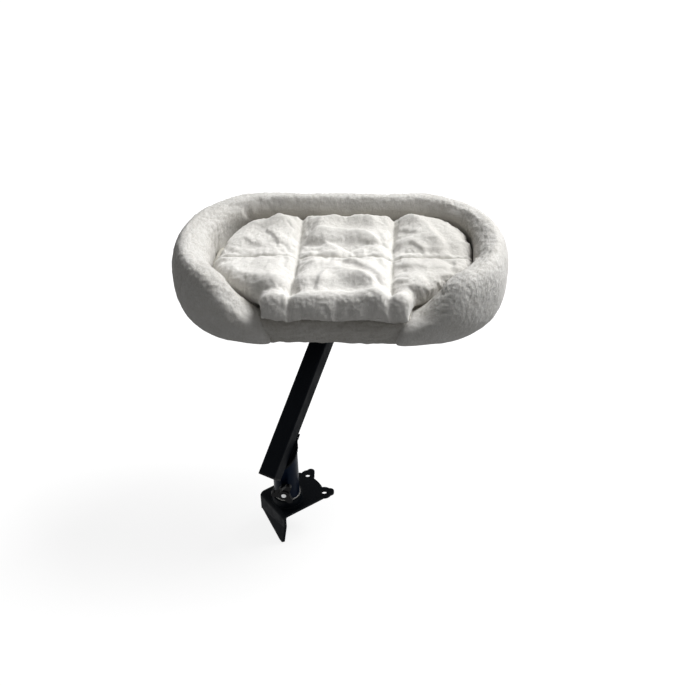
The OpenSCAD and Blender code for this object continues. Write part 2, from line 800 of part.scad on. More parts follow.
// One quilted pad whose top and underside share the same grid and rim
module cushion() {
  columns = 30;
  rows = 20;
  wide = columns + 1;
  count = wide * (rows + 1);
  reach = (cushion_front + cushion_back) / 2;
  middle = (cushion_back - cushion_front) / 2;
  high = cushion_t * (1 - cushion_low_share);
  low = cushion_t * cushion_low_share;
  function place(a, half) = abs(a) < 1 / 3
    ? 3 * a * seam_x + seam_shift
    : let (seam = sign(a) * seam_x + seam_shift) seam + (abs(a) - 1 / 3) * 3 / 2 * (sign(a) * half - seam);
  function fullness(a) = sqrt(max(0, 1 - pow(abs(a), cushion_square_share)));
  function channel(d) = exp(-pow(d / seam_half_w, 2));
  function puff(a) = 1 - puff_share + puff_share * abs(cos(a));
  function top(x, y, f) = let (seam = max(channel(abs(x - seam_shift) - seam_x), channel(y - seam_y))) f * (
    high * puff(90 * (1 - abs(x - seam_shift) / seam_x)) - seam_depth * seam + fold_rise([x, y]) * (1 - seam)
  );
  grid = [for (j = [0 : rows], i = [0 : columns]) let (
    a = 2 * i / columns - 1,
    b = 2 * j / rows - 1,
    y = middle + reach * b
  ) [place(a, cushion_half(y)), y, fullness(a) * fullness(b)]];
  upper = [for (g = grid) [g[0], g[1], low + top(g[0], g[1], g[2])]];
  under = [for (g = grid) [g[0], g[1], low * (1 - sqrt(g[2]))]];
  function lower_index(k) = grid[k][2] == 0 ? k : count + k;
  top_faces = [for (j = [0 : rows - 1], i = [0 : columns - 1])
    let (k = j * wide + i, same = (i < columns / 2) == (j < rows / 2))
    each same ? [[k, k + 1, k + wide + 1], [k, k + wide + 1, k + wide]]
      : [[k, k + 1, k + wide], [k + 1, k + wide + 1, k + wide]]];
  low_faces = [for (f = top_faces) [lower_index(f[0]), lower_index(f[2]), lower_index(f[1])]];
  upright = [for (f = top_faces) [f[0], f[2], f[1]]];
  inverted = [for (f = low_faces) [f[0], f[2], f[1]]];
  color("#d6d5d2") at_bed() translate([0, 0, cushion_z])
    polyhedron(points = concat(upper, under), faces = concat(upright, inverted), convexity = 6);
}

desk_bracket();
desk_pad();
edge_pad();
foot_ring();
pivot_pin();
thrust_washer();
swivel_sleeve();
lower_bush();
upper_bush();
saddle_plate();
lock_nut();
support_arm();
arm_end_plug();
head_plate();
head_stud();
swivel_washer();
stud_washer();
stud_nut();
lock_screw();
lock_knob();
bed_plate();
board_screws();
tee_nuts();
under_cover();
bed_board();
foam_base();
front_sill();
padded_wall();
hook_strips();
cushion();
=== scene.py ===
"""Looks of a desk-mounted cat bed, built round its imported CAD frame.

The hard parts stay the CAD's own and get finishes and weld beads. The plush
wall, the quilted cushion, the sill, the foam under them, the cloth under the
board and the hook tapes are made here. The covers of the first three are blown
up by cloth simulation and napped afterwards. Sizes are in metres, but seams and
folds are drawn in millimetres from the bed's centre.
"""

from __future__ import annotations

import json
import logging
import math
from dataclasses import dataclass, field
from enum import Enum
from typing import Callable, Sequence

import bmesh
import bpy
from mathutils import Matrix, Vector, noise

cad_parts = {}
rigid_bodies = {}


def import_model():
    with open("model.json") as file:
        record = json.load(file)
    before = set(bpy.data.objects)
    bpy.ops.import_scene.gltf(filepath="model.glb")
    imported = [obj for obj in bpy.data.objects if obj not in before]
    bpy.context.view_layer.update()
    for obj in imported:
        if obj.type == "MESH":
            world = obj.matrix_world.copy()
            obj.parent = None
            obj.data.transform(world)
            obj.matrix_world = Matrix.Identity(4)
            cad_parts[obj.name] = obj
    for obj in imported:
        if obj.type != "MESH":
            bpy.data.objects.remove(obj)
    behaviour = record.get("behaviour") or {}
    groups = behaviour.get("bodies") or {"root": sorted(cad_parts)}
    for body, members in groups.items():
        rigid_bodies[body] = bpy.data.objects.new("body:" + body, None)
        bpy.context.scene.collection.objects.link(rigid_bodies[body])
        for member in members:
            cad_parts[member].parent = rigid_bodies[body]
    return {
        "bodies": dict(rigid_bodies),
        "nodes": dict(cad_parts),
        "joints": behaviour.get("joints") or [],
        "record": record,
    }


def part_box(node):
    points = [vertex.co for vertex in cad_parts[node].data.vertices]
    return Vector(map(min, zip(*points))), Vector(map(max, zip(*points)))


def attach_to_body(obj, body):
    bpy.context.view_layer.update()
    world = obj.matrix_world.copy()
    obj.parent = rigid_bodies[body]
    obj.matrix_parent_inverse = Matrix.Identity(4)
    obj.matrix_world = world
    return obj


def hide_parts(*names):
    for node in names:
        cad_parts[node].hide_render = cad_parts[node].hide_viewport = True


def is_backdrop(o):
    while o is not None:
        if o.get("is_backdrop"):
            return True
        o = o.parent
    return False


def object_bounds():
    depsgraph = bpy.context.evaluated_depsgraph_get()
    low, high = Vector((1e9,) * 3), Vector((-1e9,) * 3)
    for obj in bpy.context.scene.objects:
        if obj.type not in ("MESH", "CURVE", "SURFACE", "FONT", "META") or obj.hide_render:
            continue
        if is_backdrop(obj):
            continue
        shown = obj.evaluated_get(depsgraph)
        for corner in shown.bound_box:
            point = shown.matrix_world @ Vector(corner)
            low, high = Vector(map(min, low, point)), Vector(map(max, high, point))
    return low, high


LOG = logging.getLogger("cat_bed")
Colour = tuple[float, float, float]
Point = tuple[float, float]
Node = bpy.types.Node
Socket = bpy.types.NodeSocket
Piece = bpy.types.Object
Inputs = dict[str | int, object]
Shift = Callable[[Vector, Vector], Vector]

MERGE_GAP = 1e-5
TO_MM = 1000.0


class Slot(Enum):
    """The record's material slots."""

    POWDER_COAT = "black_powder_coat"
    GLOSS = "blue_black_gloss"
    STEEL = "bare_steel"
    NYLON = "white_nylon"
    PLASTIC = "black_plastic"
    RUBBER = "black_rubber"
    CLOTH = "grey_fabric"
    WALL_PLUSH = "pale_grey_plush"
    CUSHION_PLUSH = "off_white_plush"
    FOAM = "foam"
    PLYWOOD = "plywood"


class Side(Enum):
    """A side of a fold's line, or of the arm."""

    LEFT = "left"
    RIGHT = "right"


# ---------------------------------------------------------------- shader tools


class Sketch:
    """A node tree with short calls to add nodes and join them."""

    def __init__(self, tree: bpy.types.NodeTree) -> None:
        """Keeps the tree that nodes are added to."""
        self.tree = tree

    def fill(self, node: Node, inputs: Inputs) -> None:
        """Links or sets a node's inputs.

        Args:
            node: The node.
            inputs: A socket or a value for each input, by name or number.
        """
        for key, value in inputs.items():
            if isinstance(value, Socket):
                self.tree.links.new(value, node.inputs[key])
            else:
                node.inputs[key].default_value = value

    def add(self, kind: str, inputs: Inputs | None = None, **settings: object) -> Node:
        """Adds a node.

        Args:
            kind: Blender's type name without its "ShaderNode" start.
            inputs: Values or sockets by input name or number.
            settings: Attributes of the node itself.

        Returns:
            The new node.
        """
        node = self.tree.nodes.new("ShaderNode" + kind)
        for name, value in settings.items():
            setattr(node, name, value)
        self.fill(node, inputs or {})
        return node

    def group(self, tree: bpy.types.NodeTree, inputs: Inputs) -> bpy.types.NodeOutputs:
        """Places a shader group with its own values and gives its outputs."""
        return self.add("Group", inputs, node_tree=tree).outputs

    def maths(self, operation: str, first: object, second: object = 0.0) -> Socket:
        """Adds a Math node and gives its result."""
        return self.add("Math", {0: first, 1: second}, operation=operation).outputs[0]

    def part(self, value: Socket, share: float) -> Socket:
        """Gives a share of a value."""
        return self.maths("MULTIPLY", value, share)

    def spread(
        self, value: Socket, low: float, high: float, start: float = 0.0, stop: float = 1.0
    ) -> Socket:
        """Maps a value smoothly from one range to another.

        Args:
            value: The value.
            low: Where its range starts.
            high: Where its range stops.
            start: What comes out at low and below.
            stop: What comes out at high and above.

        Returns:
            The new value.
        """
        inputs = {0: value, 1: low, 2: high, 3: start, 4: stop}
        return self.add("MapRange", inputs, interpolation_type="SMOOTHSTEP").outputs[0]

    def blend(self, share: Socket, first: Colour | Socket, second: Colour | Socket) -> Socket:
        """Mixes two colours by a share and gives the colour."""
        pair = [value if isinstance(value, Socket) else (*value, 1) for value in (first, second)]
        return self.add("Mix", {0: share, 6: pair[0], 7: pair[1]}, data_type="RGBA").outputs[2]

    def noise(
        self, vector: Socket, scale: object, detail: float = 3.0, distortion: float = 0.0
    ) -> Socket:
        """Adds a noise texture and gives its value."""
        inputs = {"Vector": vector, "Scale": scale, "Detail": detail, "Distortion": distortion}
        return self.add("TexNoise", inputs).outputs[0]

    def vertical(self, vector: Socket) -> Socket:
        """Gives the Z of a vector."""
        return self.add("SeparateXYZ", {0: vector}).outputs[2]

    def upward(self) -> Socket:
        """Gives how far a surface faces up, from -1 to 1."""
        return self.vertical(self.add("NewGeometry").outputs["Normal"])

    def bump(self, height: Socket, depth: float) -> Socket:
        """Gives the normal that a height makes, where 1 stands for a depth in metres."""
        return self.add("Bump", {"Distance": depth, "Height": height}).outputs["Normal"]

    def seen(self) -> Socket:
        """Gives 1 where a surface is seen straight on, in a gloss or through glass."""
        rays = self.add("LightPath").outputs
        indirect = self.maths("MAXIMUM", rays["Is Glossy Ray"], rays["Is Transmission Ray"])
        return self.maths("MAXIMUM", rays["Is Camera Ray"], indirect)


def group_tree(
    name: str, numbers: dict[str, float], outputs: Sequence[str]
) -> tuple[Sketch, bpy.types.NodeOutputs, Node]:
    """Starts a shader group that reads a vector and numbers and puts out numbers.

    Args:
        name: The group's name.
        numbers: Its number inputs with their values, after the vector.
        outputs: Its outputs' names.

    Returns:
        The sketch on the group's tree, its inputs as sockets and its output node.
    """
    tree = bpy.data.node_groups.new(name, "ShaderNodeTree")
    tree.interface.new_socket("Vector", in_out="INPUT", socket_type="NodeSocketVector")
    for label, value in numbers.items():
        socket = tree.interface.new_socket(label, in_out="INPUT", socket_type="NodeSocketFloat")
        socket.default_value = value
    for label in outputs:
        tree.interface.new_socket(label, in_out="OUTPUT", socket_type="NodeSocketFloat")
    return Sketch(tree), tree.nodes.new("NodeGroupInput").outputs, tree.nodes.new("NodeGroupOutput")


class Effects:
    """The effects that several finishes share, each a shader group built once."""

    def __init__(self) -> None:
        """Builds the groups."""
        self.pile = self._pile()
        self.grain = self._grain()
        self.smudge = self._smudge()
        self.weave = self._weave()

    @staticmethod
    def _pile(
        lean: float = 0.0072, sway: float = 45.0, patches: float = 28.0
    ) -> bpy.types.NodeTree:
        """Tufts of plush with finer fibres in them.

        Args:
            lean: How far the tufts lean, in metres.
            sway: The scale at which their lean changes.
            patches: The scale of the worn patches.

        Returns:
            A group that puts out the height, how deep a spot lies between tufts as the mask for
            painted shade there, and the patches.
        """
        s, start, end = group_tree(
            "plush_pile", {"Tuft": 210.0, "Fibre": 900.0}, ("Height", "Hollow", "Patch")
        )
        place = start["Vector"]
        wander = s.add("TexNoise", {"Vector": place, "Scale": sway, "Detail": 2.0}).outputs["Color"]
        bent = s.add("VectorMath", {0: wander, 3: lean}, operation="SCALE").outputs[0]
        moved = s.add("VectorMath", {0: place, 1: bent}, operation="ADD").outputs[0]
        tuft = s.noise(moved, start["Tuft"], distortion=0.8)
        fibre = s.noise(moved, start["Fibre"], detail=4.0, distortion=1.6)
        patch = s.noise(place, patches, distortion=0.6)
        s.fill(end, {
            "Height": s.maths("ADD", s.part(tuft, 0.72), s.part(fibre, 0.42)),
            # Mask for painted shade: 1 deep between the tufts.
            "Hollow": s.spread(tuft, low=0.36, high=0.56, start=1.0, stop=0.0),
            "Patch": s.spread(patch, low=0.35, high=0.66),
        })
        return s.tree

    @staticmethod
    def _grain(broader: float = 0.12, share: float = 0.6) -> bpy.types.NodeTree:
        """The fine relief of a sprayed or moulded skin.

        Args:
            broader: The scale of its broad waves, as a share of the fine ones'.
            share: What each of the two adds to the height.

        Returns:
            A group that puts out the relief's height.
        """
        s, start, end = group_tree("skin_grain", {"Scale": 700.0}, ("Height",))
        place, scale = start["Vector"], start["Scale"]
        fine = s.noise(place, scale, detail=2.0)
        broad = s.noise(place, s.part(scale, broader), detail=2.0, distortion=0.3)
        s.fill(end, {"Height": s.maths("ADD", s.part(fine, share), s.part(broad, share))})
        return s.tree

    @staticmethod
    def _smudge(finer: float = 30.0) -> bpy.types.NodeTree:
        """Handling marks and dust that settles on upward faces.

        Args:
            finer: How much finer the dust is than the marks.

        Returns:
            A group that puts out a smudge and a dust value.
        """
        s, start, end = group_tree("smudge_and_dust", {"Scale": 30.0}, ("Smudge", "Dust"))
        place, scale = start["Vector"], start["Scale"]
        cloud = s.noise(place, scale, detail=5.0, distortion=1.2)
        speck = s.noise(place, s.part(scale, finer), detail=2.0)
        settled = s.spread(s.upward(), low=0.2, high=1.0)
        s.fill(end, {
            "Smudge": s.spread(cloud, low=0.4, high=0.68),
            "Dust": s.maths("MULTIPLY", settled, s.spread(speck, low=0.58, high=0.72)),
        })
        return s.tree

    @staticmethod
    def _weave(wander: float = 0.4) -> bpy.types.NodeTree:
        """A plain weave of two crossing threads.

        Args:
            wander: How unevenly the threads run.

        Returns:
            A group that puts out the weave's height.
        """
        s, start, end = group_tree("plain_weave", {"Scale": 900.0}, ("Height",))
        thread = {"Vector": start["Vector"], "Scale": start["Scale"], "Distortion": wander}
        warp, weft = (s.add("TexWave", thread, bands_direction=way).outputs[1] for way in "XY")
        s.fill(end, {"Height": s.maths("MAXIMUM", warp, weft)})
        return s.tree


# ------------------------------------------------------------------- finishes


@dataclass(frozen=True)
class Finish:
    """A finish, made into a material once."""

    name: str

    def material(self, effects: Effects) -> bpy.types.Material:
        """Makes the material.

        Args:
            effects: The shared shader groups.

        Returns:
            The material.
        """
        made = bpy.data.materials.new(self.name)
        made.use_nodes = True
        s = Sketch(made.node_tree)
        place = s.add("TexCoord").outputs["Object"]
        s.fill(made.node_tree.nodes["Principled BSDF"], self.look(s, place, effects))
        return made

    def look(self, s: Sketch, place: Socket, effects: Effects) -> Inputs:
        """Works out the surface.

        Args:
            s: The sketch on the material's tree.
            place: The place on the object.
            effects: The shared shader groups.

        Returns:
            Values and sockets for the Principled node, by input name.
        """
        raise NotImplementedError


@dataclass(frozen=True)
class Plush(Finish):
    """A short plush pile: the tip colour is its own, and the root colour is painted as shade
    between its tufts and where the mesh marks shade.
    """

    tip: Colour
    # The colour of the painted shade between tufts and where the mesh marks shade.
    root: Colour
    worn: Colour
    tuft: float = 300.0
    fibre: float = 1300.0
    relief: float = 0.0015
    sheen: float = 0.35
    # How strong the painted shade between tufts is, on full and on flat pile.
    tuft_shade: float = 0.34
    flat_tuft_shade: float = 0.08
    flat_height: float = 0.45
    patches: float = 0.5
    # How strong the painted shade that the mesh marks is.
    painted_shade_share: float = 0.8

    def look(self, s: Sketch, place: Socket, effects: Effects) -> Inputs:
        """Works out a pile that is flatter where the mesh says so, with painted shade between its
        tufts and where the mesh marks shade.
        """
        pile = s.group(effects.pile, {"Vector": place, "Tuft": self.tuft, "Fibre": self.fibre})
        nap = s.add("Attribute", attribute_name="nap").outputs["Fac"]
        painted_shade = s.add("Attribute", attribute_name="painted_shade").outputs["Fac"]
        patched = s.blend(s.part(pile["Patch"], self.patches), self.tip, self.worn)
        depth = s.spread(nap, 0.0, 1.0, self.flat_tuft_shade, self.tuft_shade)
        # Painted shade between the tufts, in the root colour, deeper where the pile is full.
        coloured = s.blend(s.maths("MULTIPLY", pile["Hollow"], depth), patched, self.root)
        fullness = s.spread(nap, 0.0, 1.0, self.flat_height, 1.0)
        return {
            # Painted shade where the mesh marks it, in the root colour.
            "Base Color": s.blend(s.part(painted_shade, self.painted_shade_share), coloured, self.root),
            "Roughness": 0.95,
            "Specular IOR Level": 0.12,
            "Sheen Weight": self.sheen,
            "Sheen Roughness": 0.45,
            "Normal": s.bump(s.maths("MULTIPLY", pile["Height"], fullness), self.relief),
        }


@dataclass(frozen=True)
class Coating(Finish):
    """Sprayed paint on steel, from a textured powder coat to a smooth gloss."""

    colour: Colour
    worn: Colour
    roughness: float
    rubbed: float
    grain: float
    relief: float
    gleam: float
    tint: Colour = (1.0, 1.0, 1.0)
    dust: Colour = (0.25, 0.24, 0.22)
    dustiness: float = 0.04
    wear: float = 0.5
    marks: float = 26.0

    def look(self, s: Sketch, place: Socket, effects: Effects) -> Inputs:
        """Works out the paint with handling marks in its gloss."""
        marks = s.group(effects.smudge, {"Vector": place, "Scale": self.marks})
        grain = s.group(effects.grain, {"Vector": place, "Scale": self.grain})["Height"]
        base = s.blend(s.part(marks["Smudge"], self.wear), self.colour, self.worn)
        duller = self.roughness + self.rubbed
        return {
            "Base Color": s.blend(s.part(marks["Dust"], self.dustiness), base, self.dust),
            "Roughness": s.spread(marks["Smudge"], 0.0, 1.0, self.roughness, duller),
            "Specular IOR Level": self.gleam,
            "Specular Tint": (*self.tint, 1),
            "Normal": s.bump(grain, self.relief),
        }


@dataclass(frozen=True)
class BrightSteel(Finish):
    """Bare or zinc-plated steel with fine turning marks."""

    colour: Colour = (0.56, 0.57, 0.58)
    dull: Colour = (0.4, 0.4, 0.39)
    turning: tuple[float, float, float] = (60.0, 60.0, 2600.0)
    marks: float = 60.0
    roughness: Point = (0.24, 0.42)
    relief: float = 0.00004

    def look(self, s: Sketch, place: Socket, effects: Effects) -> Inputs:
        """Works out the steel, its marks drawn round the height like turned stock."""
        drawn = s.add("Mapping", {"Vector": place, "Scale": self.turning}).outputs[0]
        smudge = s.group(effects.smudge, {"Vector": place, "Scale": self.marks})["Smudge"]
        return {
            "Base Color": s.blend(smudge, self.colour, self.dull),
            "Metallic": 1.0,
            "Roughness": s.spread(smudge, 0.0, 1.0, *self.roughness),
            "Normal": s.bump(s.noise(drawn, 1.0), self.relief),
        }


@dataclass(frozen=True)
class Moulded(Finish):
    """Moulded plastic or rubber with a fine skin."""

    colour: Colour
    rubbed: Colour
    roughness: float
    grain: float = 1100.0
    relief: float = 0.00005
    gleam: float = 0.35
    duller: float = 0.14
    wear: float = 0.6
    marks: float = 45.0

    def look(self, s: Sketch, place: Socket, effects: Effects) -> Inputs:
        """Works out the skin, rubbed in places."""
        smudge = s.group(effects.smudge, {"Vector": place, "Scale": self.marks})["Smudge"]
        grain = s.group(effects.grain, {"Vector": place, "Scale": self.grain})["Height"]
        rough = self.roughness + self.duller
        return {
            "Base Color": s.blend(s.part(smudge, self.wear), self.colour, self.rubbed),
            "Roughness": s.spread(smudge, 0.0, 1.0, self.roughness, rough),
            "Specular IOR Level": self.gleam,
            "Normal": s.bump(grain, self.relief),
        }


@dataclass(frozen=True)
class Woven(Finish):
    """Plain woven cloth, as stapled under a board."""

    colour: Colour
    # The colour of the painted shade between threads, and of the grime.
    shade: Colour
    threads: float = 260.0
    gaps: float = 0.8
    grime: float = 0.3
    marks: float = 18.0
    relief: float = 0.0002

    def look(self, s: Sketch, place: Socket, effects: Effects) -> Inputs:
        """Works out the crossing threads, with painted shade in the gaps between them, grubby in
        places.
        """
        weave = s.group(effects.weave, {"Vector": place, "Scale": self.threads})["Height"]
        smudge = s.group(effects.smudge, {"Vector": place, "Scale": self.marks})["Smudge"]
        # Painted shade in the gaps between threads.
        threads = s.blend(s.part(weave, self.gaps), self.shade, self.colour)
        return {
            "Base Color": s.blend(s.part(smudge, self.grime), threads, self.shade),
            "Roughness": 0.9,
            "Sheen Weight": 0.2,
            "Normal": s.bump(weave, self.relief),
        }


@dataclass(frozen=True)
class Plywood(Finish):
    """Birch plywood: long grain on its faces and plies along its edge."""

    pale: Colour = (0.62, 0.45, 0.28)
    dark: Colour = (0.4, 0.25, 0.13)
    plies: float = 2450.0
    grain: tuple[float, float, float] = (9.0, 160.0, 160.0)
    relief: float = 0.00012

    def look(self, s: Sketch, place: Socket, effects: Effects) -> Inputs:
        """Works out the wood; the plies run round the edge at their own heights."""
        drawn = s.add("Mapping", {"Vector": place, "Scale": self.grain}).outputs[0]
        grain = s.noise(drawn, 1.0, detail=6.0, distortion=1.5)
        layers = s.maths("SINE", s.part(s.vertical(place), self.plies))
        flat = s.spread(s.maths("ABSOLUTE", s.upward()), low=0.3, high=0.7)
        face = s.spread(grain, low=0.35, high=0.65)
        edge = s.spread(layers, low=-0.3, high=0.3)
        both = s.add("Mix", {0: flat, 2: edge, 3: face}).outputs[0]
        return {
            "Base Color": s.blend(both, self.pale, self.dark),
            "Roughness": 0.7,
            "Normal": s.bump(grain, self.relief),
        }


@dataclass(frozen=True)
class OpenFoam(Finish):
    """Open-cell foam, pitted all over."""

    colour: Colour = (0.66, 0.64, 0.58)
    # The colour of the painted shade in the pits, and of the grime.
    pit_shade_and_grime: Colour = (0.42, 0.4, 0.34)
    cells: float = 600.0
    grime: float = 0.2
    marks: float = 20.0
    relief: float = 0.0008

    def look(self, s: Sketch, place: Socket, effects: Effects) -> Inputs:
        """Works out the cells with painted shade in their pits, and a little grime."""
        cells = s.add("TexVoronoi", {"Vector": place, "Scale": self.cells}).outputs["Distance"]
        smudge = s.group(effects.smudge, {"Vector": place, "Scale": self.marks})["Smudge"]
        # Painted shade in the cells' pits.
        deep = s.spread(cells, low=0.1, high=0.5, start=0.8, stop=0.0)
        shaded_pits = s.blend(deep, self.colour, self.pit_shade_and_grime)
        return {
            "Base Color": s.blend(s.part(smudge, self.grime), shaded_pits, self.pit_shade_and_grime),
            "Roughness": 0.95,
            "Normal": s.bump(cells, self.relief),
        }


class Palette:
    """Every finish of the cat bed, made once and given out by slot."""

    def __init__(self) -> None:
        """Builds the shared effects and each finish."""
        effects = Effects()
        finishes = {
            Slot.POWDER_COAT: Coating(
                "powder_coat", colour=(0.0018, 0.0028, 0.0045), worn=(0.0034, 0.0044, 0.006),
                roughness=0.48, rubbed=0.12, grain=800.0, relief=0.00009, gleam=0.04,
            ),
            Slot.GLOSS: Coating(
                "navy_gloss", colour=(0.001, 0.0042, 0.014), worn=(0.0018, 0.0052, 0.016),
                roughness=0.3, rubbed=0.1, grain=300.0, relief=0.00003, gleam=0.05,
                tint=(0.3, 0.55, 1.0),
            ),
            Slot.STEEL: BrightSteel("bright_steel"),
            Slot.NYLON: Moulded("white_nylon_skin", (0.74, 0.74, 0.7), (0.64, 0.64, 0.59), 0.42),
            Slot.PLASTIC: Moulded(
                "black_plastic_skin", (0.004, 0.004, 0.005), (0.008, 0.008, 0.009), 0.4, gleam=0.09
            ),
            Slot.RUBBER: Moulded(
                "black_rubber_skin", (0.018, 0.018, 0.018), (0.04, 0.039, 0.037), 0.72,
                grain=700.0, relief=0.00012, gleam=0.2,
            ),
            Slot.CLOTH: Woven("under_cloth", (0.2, 0.2, 0.21), (0.09, 0.09, 0.1)),
            # The plush root colours are the painted shade, between tufts and where the mesh marks
            # it.
            Slot.WALL_PLUSH: Plush(
                "wall_plush", tip=(0.7, 0.69, 0.665), root=(0.39, 0.36, 0.31),
                worn=(0.6, 0.585, 0.55),
            ),
            Slot.CUSHION_PLUSH: Plush(
                "cushion_plush", tip=(0.8, 0.785, 0.75), root=(0.48, 0.465, 0.43),
                worn=(0.71, 0.695, 0.665), relief=0.0011, sheen=0.4, tuft_shade=0.16,
            ),
            Slot.FOAM: OpenFoam("open_foam"),
            Slot.PLYWOOD: Plywood("birch_plywood"),
        }
        self.made = {slot: finish.material(effects) for slot, finish in finishes.items()}

    def dress(self, obj: Piece, slot: Slot) -> None:
        """Gives an object the finish of a slot in every material slot it has."""
        if not obj.material_slots:
            obj.data.materials.append(self.made[slot])
        for place in obj.material_slots:
            place.material = self.made[slot]


# ----------------------------------------------------------------- mesh tools


def new_object(name: str, data: bpy.types.ID) -> Piece:
    """Links a new object at the origin."""
    obj = bpy.data.objects.new(name, data)
    bpy.context.scene.collection.objects.link(obj)
    return obj


def from_bmesh(name: str, shape: bmesh.types.BMesh, smooth: bool = True) -> Piece:
    """Turns a bmesh into an object and frees it.

    Args:
        name: The object's name.
        shape: The bmesh.
        smooth: Whether its faces are shaded smooth.

    Returns:
        The new object.
    """
    mesh = bpy.data.meshes.new(name)
    shape.to_mesh(mesh)
    shape.free()
    for face in mesh.polygons:
        face.use_smooth = smooth
    return new_object(name, mesh)


def merged(mesh: bpy.types.Mesh, gap: float = MERGE_GAP) -> bmesh.types.BMesh:
    """Copies a mesh with its doubles merged and its faces outwards.

    Args:
        mesh: The mesh.
        gap: How close two points are to be one.

    Returns:
        The copy as a bmesh.
    """
    shape = bmesh.new()
    shape.from_mesh(mesh)
    bmesh.ops.remove_doubles(shape, verts=shape.verts, dist=gap)
    bmesh.ops.recalc_face_normals(shape, faces=shape.faces)
    return shape


def evaluated(obj: Piece) -> bpy.types.Mesh:
    """Gives a new mesh of what an object's modifiers make of it."""
    graph = bpy.context.evaluated_depsgraph_get()
    return bpy.data.meshes.new_from_object(obj.evaluated_get(graph))


def apply_modifiers(obj: Piece) -> None:
    """Replaces an object's mesh by what its modifiers make of it."""
    made = evaluated(obj)
    obj.modifiers.clear()
    obj.data = made
    for face in made.polygons:
        face.use_smooth = True


def relax(obj: Piece, rounds: int, chosen: Callable[[Vector], bool] = lambda place: True) -> None:
    """Smooths a mesh, or some of its points.

    Args:
        obj: The object.
        rounds: How often it is smoothed.
        chosen: Says whether a point at a place is smoothed.
    """
    shape = bmesh.new()
    shape.from_mesh(obj.data)
    points = [vertex for vertex in shape.verts if chosen(vertex.co)]
    for _ in range(rounds):
        bmesh.ops.smooth_vert(
            shape, verts=points, factor=0.5, use_axis_x=True, use_axis_y=True, use_axis_z=True
        )
    shape.to_mesh(obj.data)
    shape.free()


def even_copy(node: Piece, name: str, voxel: float, rounds: int) -> Piece:
    """Copies a CAD solid with an even, smoothed mesh.

    Args:
        node: The CAD node.
        name: The new object's name.
        voxel: The mesh's spacing.
        rounds: How often the new mesh is smoothed.

    Returns:
        The new object.
    """
    obj = from_bmesh(name, merged(node.data))
    remesh = obj.modifiers.new("Even", "REMESH")
    remesh.mode = "VOXEL"
    remesh.voxel_size = voxel
    apply_modifiers(obj)
    relax(obj, rounds)
    return obj


def move_points(obj: Piece, shift: Shift) -> None:
    """Moves every point of a mesh.

    Args:
        obj: The object.
        shift: Gives the move for a point's place and normal.
    """
    mesh = obj.data
    places = [vertex.co.copy() for vertex in mesh.vertices]
    normals = [vertex.normal.copy() for vertex in mesh.vertices]
    for vertex, place, normal in zip(mesh.vertices, places, normals):
        vertex.co = place + shift(place, normal)
    mesh.update()


def mark_points(obj: Piece, label: str, value: Callable[[Vector], float]) -> None:
    """Writes a value on every point of a mesh, for its material to read."""
    layer = obj.data.attributes.new(label, "FLOAT", "POINT")
    for index, vertex in enumerate(obj.data.vertices):
        layer.data[index].value = value(vertex.co)


def refine(obj: Piece) -> None:
    """Adds one smooth subdivision and applies it."""
    subdivision = obj.modifiers.new("Finer", "SUBSURF")
    subdivision.levels = 1
    subdivision.render_levels = 1
    apply_modifiers(obj)


@dataclass(frozen=True)
class Rise:
    """A smooth rise from 0 at one value to 1 at another, which may lie below it."""

    start: float
    full: float

    def __call__(self, value: float) -> float:
        """Gives how far the rise has come at a value."""
        share = min(1.0, max(0.0, (value - self.start) / (self.full - self.start)))
        return share * share * (3 - 2 * share)


def bell(distance: float, width: float) -> float:
    """Gives 1 at no distance and falls away smoothly over a width."""
    return math.exp(-((distance / width) ** 2))


def nearest(line: Sequence[Point], x: float, y: float) -> tuple[float, float, Side]:
    """Finds the nearest place on a line in plan.

    Args:
        line: The line's points.
        x: The place's x.
        y: The place's y.

    Returns:
        Its distance, its share of the way along the line, and the place's side of the line.
    """
    best, along, passed, side = math.inf, 0.0, 0.0, Side.RIGHT
    for (ax, ay), (bx, by) in zip(line, line[1:]):
        dx, dy = bx - ax, by - ay
        length = math.hypot(dx, dy)
        share = min(1.0, max(0.0, ((x - ax) * dx + (y - ay) * dy) / length**2))
        away = math.hypot(x - ax - share * dx, y - ay - share * dy)
        if away < best:
            best, along = away, passed + share * length
            side = Side.RIGHT if dx * (y - ay) - dy * (x - ax) < 0 else Side.LEFT
        passed += length
    return best, along / passed, side


